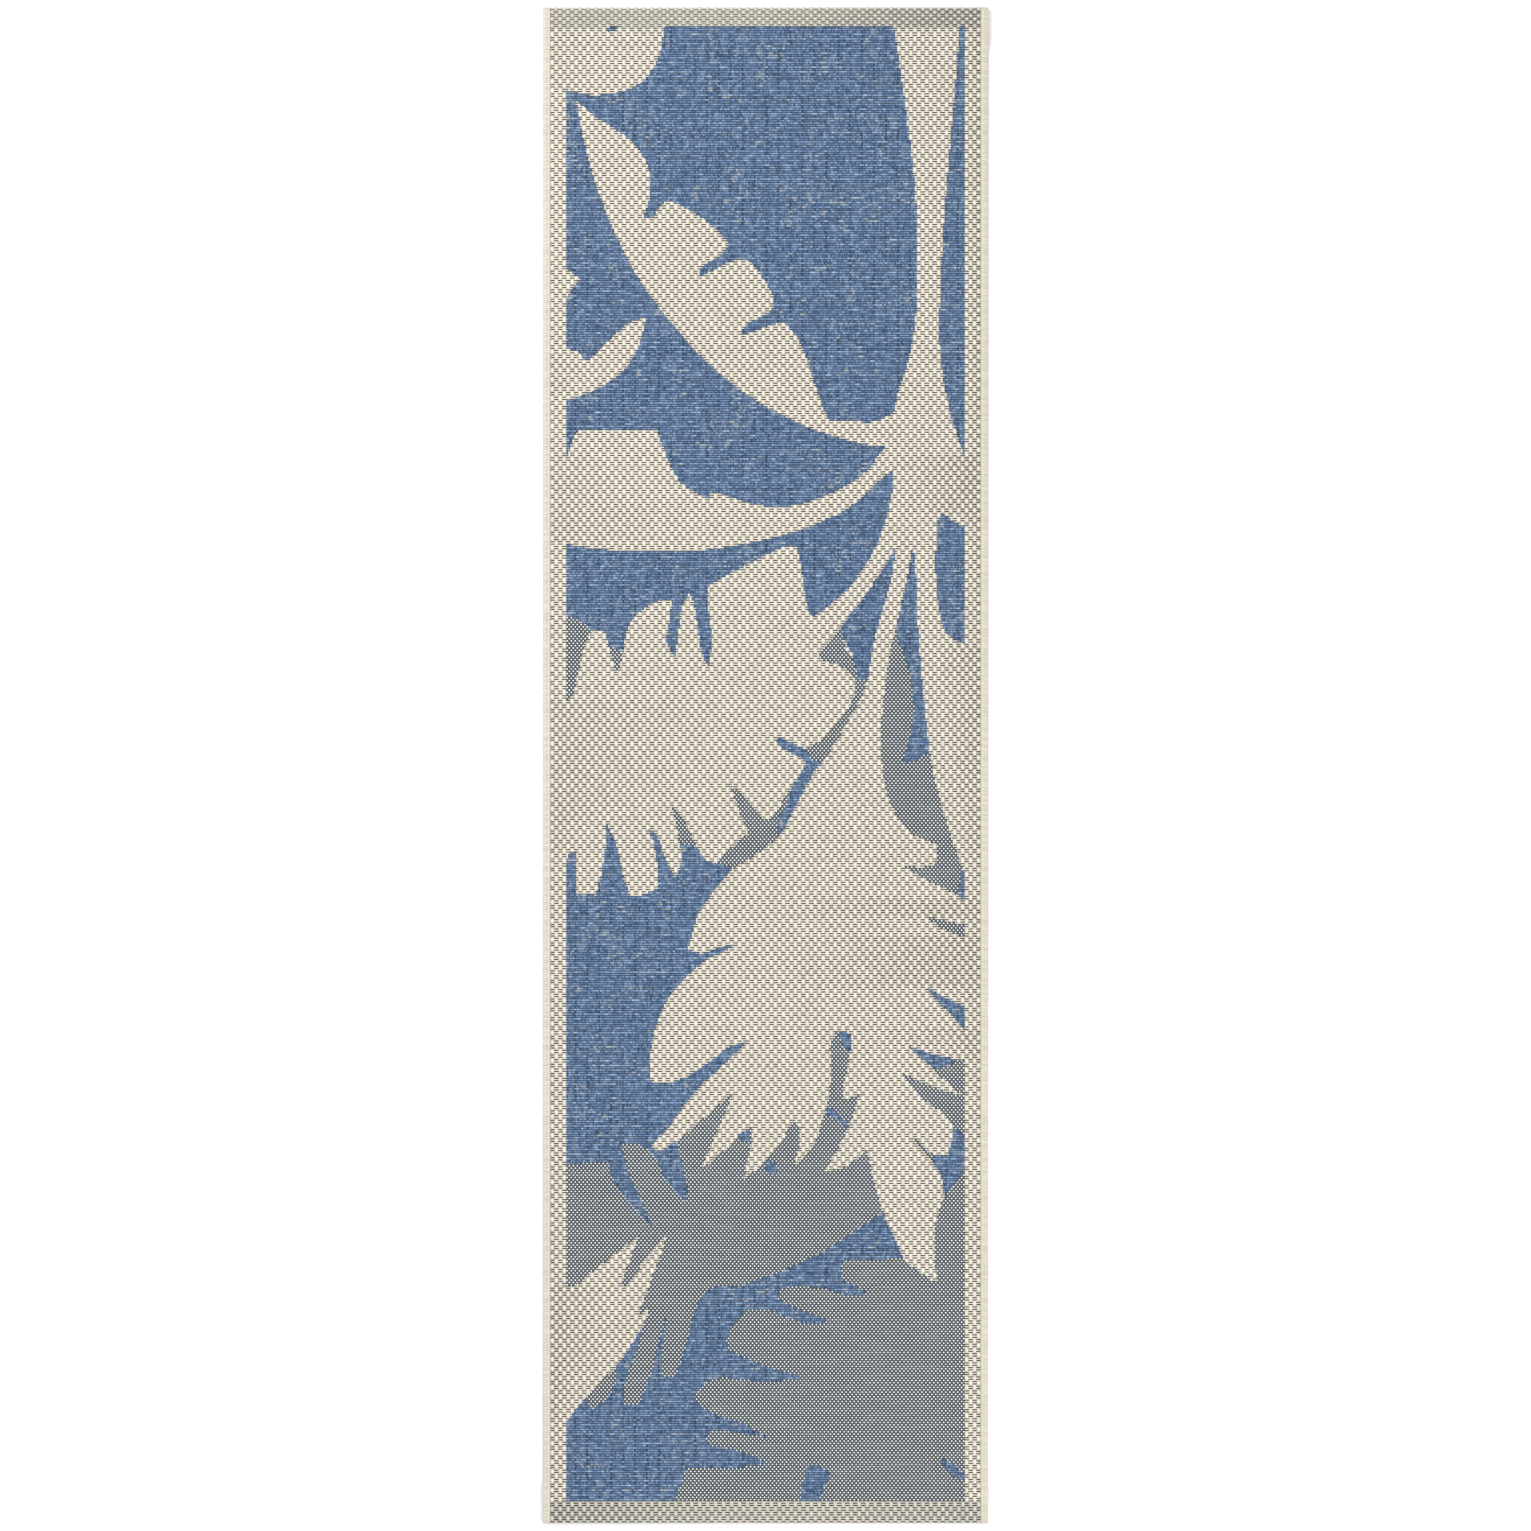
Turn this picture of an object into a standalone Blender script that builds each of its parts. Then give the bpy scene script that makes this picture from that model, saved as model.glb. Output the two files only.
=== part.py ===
"""Flat-woven runner rug, lying flat.

The cloth is one long panel. Its two long edges are overcast with a wide band of yarn (the serging).
Its two short ends are folded under, and each hem is held down by a blind stitch along its raw edge,
which has an overlocked edge of its own. A blank care label is caught in one hem.

Metres. +Z is up, +Y runs along the rug towards its head end, and the origin is at the middle of the
underside. Everything that is the same at both ends is drawn for the head end and mirrored.
"""

import math

import bmesh
import bpy
from mathutils import Matrix, Vector

OBJECT_NAME = "runner_rug"

# Overall size and the cloth.
RUG_WIDTH = 0.686
RUG_LENGTH = 2.336
CLOTH_THICKNESS = 0.0034

# Space kept between any two neighbouring pieces.
FIT_GAP = 0.0003

# Serging along the two long edges: a flat band that wraps the thinned edge of the cloth.
SERGING_BAND = 0.0115
SERGING_WALL = 0.0006
SERGING_NOSE = 0.0015
SERGING_NOSE_STEPS = 6

# Hems: the ends turn under through half a circle and lie a little way below the cloth.
HEM_DEPTH = 0.037
HEM_SPACE = 0.0011
FOLD_STEPS = 12
RAMP_LENGTH = 0.030
RAMP_STEPS = 5

# Overlock on the raw edge of each hem.
OVERLOCK_BITE = 0.006
OVERLOCK_WALL = 0.0007
OVERLOCK_NOSE = 0.0012
OVERLOCK_END_MARGIN = 0.001

# Blind stitch: a zigzag thread between the overlock and the back of the cloth.
STITCH_PITCH = 0.012
STITCH_REACH = 0.004
THREAD_RADIUS = 0.00035
THREAD_BEVEL_RESOLUTION = 1

# Care label, caught in the head-end hem.
LABEL_WIDTH = 0.040
LABEL_THICKNESS = 0.0004
LABEL_TUCK = 0.010
LABEL_CENTRE_X = 0.250
LABEL_LOWER_BEND = 0.3

MERGE_DISTANCE = 0.00001

# Places worked out from the sizes above.
HALF_WIDTH = RUG_WIDTH / 2
HALF_CLOTH = CLOTH_THICKNESS / 2
FOLD_RADIUS = (CLOTH_THICKNESS + HEM_SPACE) / 2
HEM_RISE = 2 * FOLD_RADIUS
FOLD_START_Y = RUG_LENGTH / 2 - FOLD_RADIUS - HALF_CLOTH
RAW_EDGE_Y = RUG_LENGTH / 2 - HEM_DEPTH
OVERLOCK_NOSE_Y = RAW_EDGE_Y - FIT_GAP - OVERLOCK_NOSE
STITCH_NEAR_Y = OVERLOCK_NOSE_Y - FIT_GAP - THREAD_RADIUS
STITCH_FAR_Y = STITCH_NEAR_Y - STITCH_REACH
RAMP_TOP_Y = STITCH_FAR_Y - 2 * THREAD_RADIUS - FIT_GAP
RAMP_BEND = 2 * math.atan(HEM_RISE / RAMP_LENGTH)
RAMP_RADIUS = RAMP_LENGTH / (2 * math.sin(RAMP_BEND))
RAMP_FOOT_Y = RAMP_TOP_Y - RAMP_LENGTH

CLOTH_FULL_X = HALF_WIDTH - SERGING_BAND - FIT_GAP
CLOTH_EDGE_X = HALF_WIDTH - SERGING_NOSE - FIT_GAP
CLOTH_EDGE_HALF = HALF_CLOTH - SERGING_WALL - FIT_GAP
RAW_EDGE_HALF = HALF_CLOTH - OVERLOCK_WALL - FIT_GAP
OVERLOCK_HALF_LENGTH = CLOTH_FULL_X - OVERLOCK_END_MARGIN - FIT_GAP

# Heights above the floor, over the hem.
HEM_CEILING_Z = CLOTH_THICKNESS + HEM_SPACE
LABEL_TOP_Z = HEM_CEILING_Z - FIT_GAP
STITCH_FAR_Z = LABEL_TOP_Z - LABEL_THICKNESS - FIT_GAP - THREAD_RADIUS


def clear_scene():
    for old in list(bpy.data.objects):
        bpy.data.objects.remove(old, do_unlink=True)


def new_collection(name):
    collection = bpy.data.collections.new(name)
    bpy.context.scene.collection.children.link(collection)
    return collection


def yarn_material(name, colour, roughness):
    material = bpy.data.materials.new(name)
    material.use_nodes = True
    shader = material.node_tree.nodes["Principled BSDF"]
    shader.inputs["Base Color"].default_value = (*colour, 1.0)
    shader.inputs["Roughness"].default_value = roughness
    shader.inputs["Metallic"].default_value = 0.0
    material.diffuse_color = (*colour, 1.0)
    return material


def add_object(name, mesh, collection, material=None):
    piece = bpy.data.objects.new(name, mesh)
    collection.objects.link(piece)
    if material is not None:
        mesh.materials.append(material)
    return piece


def run(distance):
    return ("run", distance, 0.0, 0)


def turn(radius, angle, steps):
    """A bend of the path: a positive angle bends it upwards."""
    return ("turn", radius, angle, steps)


def sweep(outline, start_y, start_z, heading, moves, open_start):
    """Sweep an outline (X, height above the path) along runs and turns in the YZ plane.

    The heading is +1 towards the head end and -1 towards the foot end. Returns the mesh data.
    """
    shape = bmesh.new()
    corners = [shape.verts.new((x, start_y, start_z + height)) for x, height in outline]
    front = shape.faces.new(corners)
    covered = []
    place = Vector((0.0, start_y, start_z))
    ahead = Vector((0.0, heading, 0.0))
    above = Vector((0.0, 0.0, 1.0))
    for kind, size, angle, steps in moves:
        covered.append(front)
        if kind == "run":
            made = bmesh.ops.extrude_face_region(shape, geom=[front])["geom"]
            moved = [part for part in made if isinstance(part, bmesh.types.BMVert)]
            bmesh.ops.translate(shape, verts=moved, vec=ahead * size)
            place += ahead * size
        else:
            centre = place + above * math.copysign(size, angle)
            rotation = Matrix.Rotation(angle * heading, 3, "X")
            made = bmesh.ops.spin(
                shape, geom=[front], cent=centre, axis=(1.0, 0.0, 0.0), angle=angle * heading, steps=steps
            )["geom_last"]
            place = centre + rotation @ (place - centre)
            ahead = rotation @ ahead
            above = rotation @ above
        front = next(part for part in made if isinstance(part, bmesh.types.BMFace))
    inner_faces = covered if open_start else covered[1:]
    bmesh.ops.delete(shape, geom=inner_faces, context="FACES_ONLY")
    bmesh.ops.remove_doubles(shape, verts=shape.verts, dist=MERGE_DISTANCE)
    bmesh.ops.recalc_face_normals(shape, faces=shape.faces)
    mesh = bpy.data.meshes.new("swept")
    shape.to_mesh(mesh)
    shape.free()
    return mesh


def cloth_moves():
    """The way from the middle of the rug to the raw edge of the head-end hem."""
    return [
        run(RAMP_FOOT_Y),
        turn(RAMP_RADIUS, RAMP_BEND, RAMP_STEPS),
        turn(RAMP_RADIUS, -RAMP_BEND, RAMP_STEPS),
        run(FOLD_START_Y - RAMP_TOP_Y),
        turn(FOLD_RADIUS, -math.pi, FOLD_STEPS),
        run(FOLD_START_Y - RAW_EDGE_Y),
    ]


def mirror_ends(piece):
    mirror = piece.modifiers.new("both_ends", "MIRROR")
    mirror.use_axis = (False, True, False)
    mirror.use_clip = True
    mirror.merge_threshold = MERGE_DISTANCE


def cut_away(piece, cutter, name):
    cut = piece.modifiers.new(name, "BOOLEAN")
    cut.operation = "DIFFERENCE"
    cut.solver = "EXACT"
    cut.object = cutter


def add_cutter(name, low, high, cutters):
    """A box from its low corner to its high corner."""
    shape = bmesh.new()
    bmesh.ops.create_cube(shape, size=1.0)
    low = Vector(low)
    high = Vector(high)
    bmesh.ops.scale(shape, vec=high - low, verts=shape.verts)
    bmesh.ops.translate(shape, vec=(low + high) / 2, verts=shape.verts)
    mesh = bpy.data.meshes.new(name)
    shape.to_mesh(mesh)
    shape.free()
    cutter = add_object(name, mesh, cutters)
    cutter.hide_render = True
    cutter.display_type = "WIRE"
    return cutter


def cloth_outline():
    """Across the cloth: full thickness in the middle, thinned at the edges that the serging wraps."""
    right_half = [
        (CLOTH_FULL_X, -HALF_CLOTH),
        (CLOTH_FULL_X, -CLOTH_EDGE_HALF),
        (CLOTH_EDGE_X, -CLOTH_EDGE_HALF),
        (CLOTH_EDGE_X, CLOTH_EDGE_HALF),
        (CLOTH_FULL_X, CLOTH_EDGE_HALF),
        (CLOTH_FULL_X, HALF_CLOTH),
    ]
    left_half = [(-x, height) for x, height in reversed(right_half)]
    return right_half + left_half


def make_woven_panel(collection, cutters):
    material = yarn_material("woven_polypropylene", (0.30, 0.36, 0.44), 0.85)
    mesh = sweep(cloth_outline(), 0.0, HALF_CLOTH, 1, cloth_moves(), open_start=True)
    panel = add_object("woven_panel", mesh, collection, material)
    half_length = CLOTH_FULL_X - OVERLOCK_END_MARGIN
    near_y = RAW_EDGE_Y - OVERLOCK_BITE
    far_y = RAW_EDGE_Y + OVERLOCK_BITE + FIT_GAP
    upper = (HALF_CLOTH + RAW_EDGE_HALF, CLOTH_THICKNESS + HEM_SPACE / 2)
    lower = (-HALF_CLOTH, HALF_CLOTH - RAW_EDGE_HALF)
    mirror_ends(panel)
    for end_name, end in (("head", 1), ("foot", -1)):
        for side_name, (bottom, top) in (("upper", upper), ("lower", lower)):
            low_y, high_y = sorted((end * near_y, end * far_y))
            name = f"{end_name}_{side_name}_raw_edge_cut"
            cutter = add_cutter(name, (-half_length, low_y, bottom), (half_length, high_y, top), cutters)
            cut_away(panel, cutter, name)
    return panel


def serging_outline(side):
    """The band wraps the edge of the cloth like a letter C, with a rounded outer edge."""
    inner_x = HALF_WIDTH - SERGING_BAND
    channel_x = HALF_WIDTH - SERGING_NOSE
    channel_half = HALF_CLOTH - SERGING_WALL
    points = [(inner_x, -channel_half), (inner_x, -HALF_CLOTH)]
    round_x = HALF_WIDTH - HALF_CLOTH
    for step in range(SERGING_NOSE_STEPS + 1):
        angle = math.pi * (step / SERGING_NOSE_STEPS - 0.5)
        points.append((round_x + HALF_CLOTH * math.cos(angle), HALF_CLOTH * math.sin(angle)))
    points += [(inner_x, HALF_CLOTH), (inner_x, channel_half)]
    points += [(channel_x, channel_half), (channel_x, -channel_half)]
    return [(side * x, height) for x, height in points]


def make_serging(name, side, collection):
    material = yarn_material(f"{name}_yarn", (0.78, 0.72, 0.62), 0.6)
    mesh = sweep(serging_outline(side), 0.0, HALF_CLOTH, 1, cloth_moves(), open_start=True)
    serging = add_object(name, mesh, collection, material)
    mirror_ends(serging)
    return serging


def make_overlock(name, end, collection):
    """A letter C on its side around the raw edge, drawn across the rug's length and run along X."""
    material = yarn_material(f"{name}_yarn", (0.74, 0.69, 0.60), 0.65)
    mouth_y = RAW_EDGE_Y + OVERLOCK_BITE
    inner_y = RAW_EDGE_Y - FIT_GAP
    chamfer = OVERLOCK_NOSE / 2
    slot_half = HALF_CLOTH - OVERLOCK_WALL
    outline = [
        (mouth_y, 0.0),
        (mouth_y, HALF_CLOTH - slot_half),
        (inner_y, HALF_CLOTH - slot_half),
        (inner_y, HALF_CLOTH + slot_half),
        (mouth_y, HALF_CLOTH + slot_half),
        (mouth_y, CLOTH_THICKNESS),
        (OVERLOCK_NOSE_Y + chamfer, CLOTH_THICKNESS),
        (OVERLOCK_NOSE_Y, CLOTH_THICKNESS - chamfer),
        (OVERLOCK_NOSE_Y, chamfer),
        (OVERLOCK_NOSE_Y + chamfer, 0.0),
    ]
    shape = bmesh.new()
    corners = [shape.verts.new((-OVERLOCK_HALF_LENGTH, end * y, z)) for y, z in outline]
    front = shape.faces.new(corners)
    made = bmesh.ops.extrude_face_region(shape, geom=[front])
    moved = [part for part in made["geom"] if isinstance(part, bmesh.types.BMVert)]
    bmesh.ops.translate(shape, verts=moved, vec=(2 * OVERLOCK_HALF_LENGTH, 0.0, 0.0))
    bmesh.ops.recalc_face_normals(shape, faces=shape.faces)
    mesh = bpy.data.meshes.new(name)
    shape.to_mesh(mesh)
    shape.free()
    return add_object(name, mesh, collection, material)


def make_hem_stitching(name, end, collection):
    """One zigzag thread along the hem, from the overlock up to the back of the cloth and down again."""
    material = yarn_material(f"{name}_thread", (0.80, 0.76, 0.68), 0.5)
    curve = bpy.data.curves.new(name, "CURVE")
    curve.dimensions = "3D"
    curve.bevel_depth = THREAD_RADIUS
    curve.bevel_resolution = THREAD_BEVEL_RESOLUTION
    curve.use_fill_caps = True
    curve.materials.append(material)
    half_stitches = 2 * int(2 * OVERLOCK_HALF_LENGTH / STITCH_PITCH)
    first_x = -half_stitches * STITCH_PITCH / 4
    thread = curve.splines.new("POLY")
    thread.points.add(half_stitches)
    for index, point in enumerate(thread.points):
        is_near = index % 2 == 0
        y = STITCH_NEAR_Y if is_near else STITCH_FAR_Y
        z = HALF_CLOTH if is_near else STITCH_FAR_Z
        point.co = (first_x + index * STITCH_PITCH / 2, end * y, z, 1.0)
    stitching = bpy.data.objects.new(name, curve)
    collection.objects.link(stitching)
    return stitching


def make_care_label(collection):
    """A blank strip of satin tape, tucked into the hem and lying along the back of the cloth."""
    material = yarn_material("label_satin", (0.85, 0.85, 0.83), 0.4)
    half_width = LABEL_WIDTH / 2
    half_thick = LABEL_THICKNESS / 2
    left_x = LABEL_CENTRE_X - half_width
    right_x = LABEL_CENTRE_X + half_width
    outline = [(left_x, -half_thick), (right_x, -half_thick), (right_x, half_thick), (left_x, half_thick)]
    below_cloth = HALF_CLOTH + FIT_GAP + half_thick
    start_y = RAW_EDGE_Y + LABEL_TUCK
    moves = [
        run(start_y - RAMP_TOP_Y),
        turn(RAMP_RADIUS - below_cloth, -RAMP_BEND, RAMP_STEPS),
        turn(RAMP_RADIUS + below_cloth, RAMP_BEND * LABEL_LOWER_BEND, 2),
    ]
    mesh = sweep(outline, start_y, LABEL_TOP_Z - half_thick, -1, moves, open_start=False)
    return add_object("care_label", mesh, collection, material)


def main():
    clear_scene()
    rug = new_collection(OBJECT_NAME)
    cutters = new_collection(f"{OBJECT_NAME}_cutters")
    make_woven_panel(rug, cutters)
    make_serging("left_serging", -1, rug)
    make_serging("right_serging", 1, rug)
    make_overlock("head_overlock", 1, rug)
    make_overlock("foot_overlock", -1, rug)
    make_hem_stitching("head_hem_stitching", 1, rug)
    make_hem_stitching("foot_hem_stitching", -1, rug)
    make_care_label(rug)


main()
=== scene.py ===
"""Flat-woven runner rug with a palm-leaf figure: its yarns, edges, hems, label and finishes.

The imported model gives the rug's size and its pieces' places. The cloth is woven here pick by pick:
ribs of weft run across the rug, and short floats of ivory and pale grey yarn lie over them where the
figure asks for them. The long edges are wrapped in serging yarn and the two hems are overlocked.
"""

import math

import bpy
import numpy as np
from bpy.props import FloatProperty, FloatVectorProperty, IntProperty, PointerProperty
from bpy.types import Operator, Panel, PropertyGroup
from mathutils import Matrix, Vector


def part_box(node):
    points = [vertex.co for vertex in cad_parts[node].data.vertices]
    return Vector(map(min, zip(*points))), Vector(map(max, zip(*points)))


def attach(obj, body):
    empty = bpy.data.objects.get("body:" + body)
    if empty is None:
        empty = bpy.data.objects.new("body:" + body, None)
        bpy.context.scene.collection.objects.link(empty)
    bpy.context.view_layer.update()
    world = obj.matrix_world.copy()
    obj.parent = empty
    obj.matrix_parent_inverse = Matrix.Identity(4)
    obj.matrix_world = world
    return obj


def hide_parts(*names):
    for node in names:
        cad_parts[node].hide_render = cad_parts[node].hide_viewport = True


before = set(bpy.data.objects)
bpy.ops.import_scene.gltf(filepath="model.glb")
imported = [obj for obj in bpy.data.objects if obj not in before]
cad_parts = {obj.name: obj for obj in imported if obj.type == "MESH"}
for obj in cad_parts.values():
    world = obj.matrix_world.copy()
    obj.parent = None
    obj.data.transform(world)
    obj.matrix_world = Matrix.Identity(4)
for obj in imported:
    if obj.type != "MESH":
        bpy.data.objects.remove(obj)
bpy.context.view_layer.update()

bl_info = {
    "name": "Woven runner rug",
    "version": (1, 0, 0),
    "blender": (4, 5, 0),
    "location": "3D View > Sidebar > Rug",
    "description": "Weaves a palm-leaf runner rug, binds its edges and sets it on a pale floor",
    "category": "Mesh",
}

BODY = "root"
MM = 0.001

# The yarns that can show in a cell of the weave.
BLUE, IVORY, GREY = 0, 1, 2

# The yarn that shows on the back where each of these shows on the face.
YARN_ON_BACK = np.array([IVORY, BLUE, GREY])

# Names of the UV maps: columns and picks of the weave, and the layout of the bake map.
WEAVE_MAP = "WeaveMap"
BAKE_MAP = "OFBake"

# The width of cloth, in metres, that one column of the bake map holds, and the column's width and margin.
BAKE_CLOTH, BAKE_COLUMN, BAKE_MARGIN = 0.69, 0.49, 0.005

# A place along the rug, in metres, that lies outside every shape of the figure.
OUTSIDE = 9.0

# Kinds of node used often. A colour mix has its colours at inputs 6 and 7 and its result at output 2.
MATH, RANGE, RAMP, MIX = "ShaderNodeMath", "ShaderNodeMapRange", "ShaderNodeValToRGB", "ShaderNodeMix"
LAID_OVER = {"data_type": "RGBA", "blend_type": "MIX"}
MULTIPLIED = {"data_type": "RGBA", "blend_type": "MULTIPLY"}

# How far apart in the noise two rows of blue yarn lie, for streaks, specks and slubs: no rows match.
STREAK_ROWS, SPECK_ROWS, SLUB_ROWS = 900.0, 500.0, 700.0

# Columns of the weave between two dents of the reed, which leave faint lines down the blue.
COLUMNS_PER_DENT = 6.0

# Where the painted shade on the two end borders sets in, in metres from the rug's middle, and its tint.
END_SHADE_FROM, END_SHADE_TO = 1.131, 1.136
END_SHADE_TINT = (0.965, 0.985, 1.0)


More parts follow.
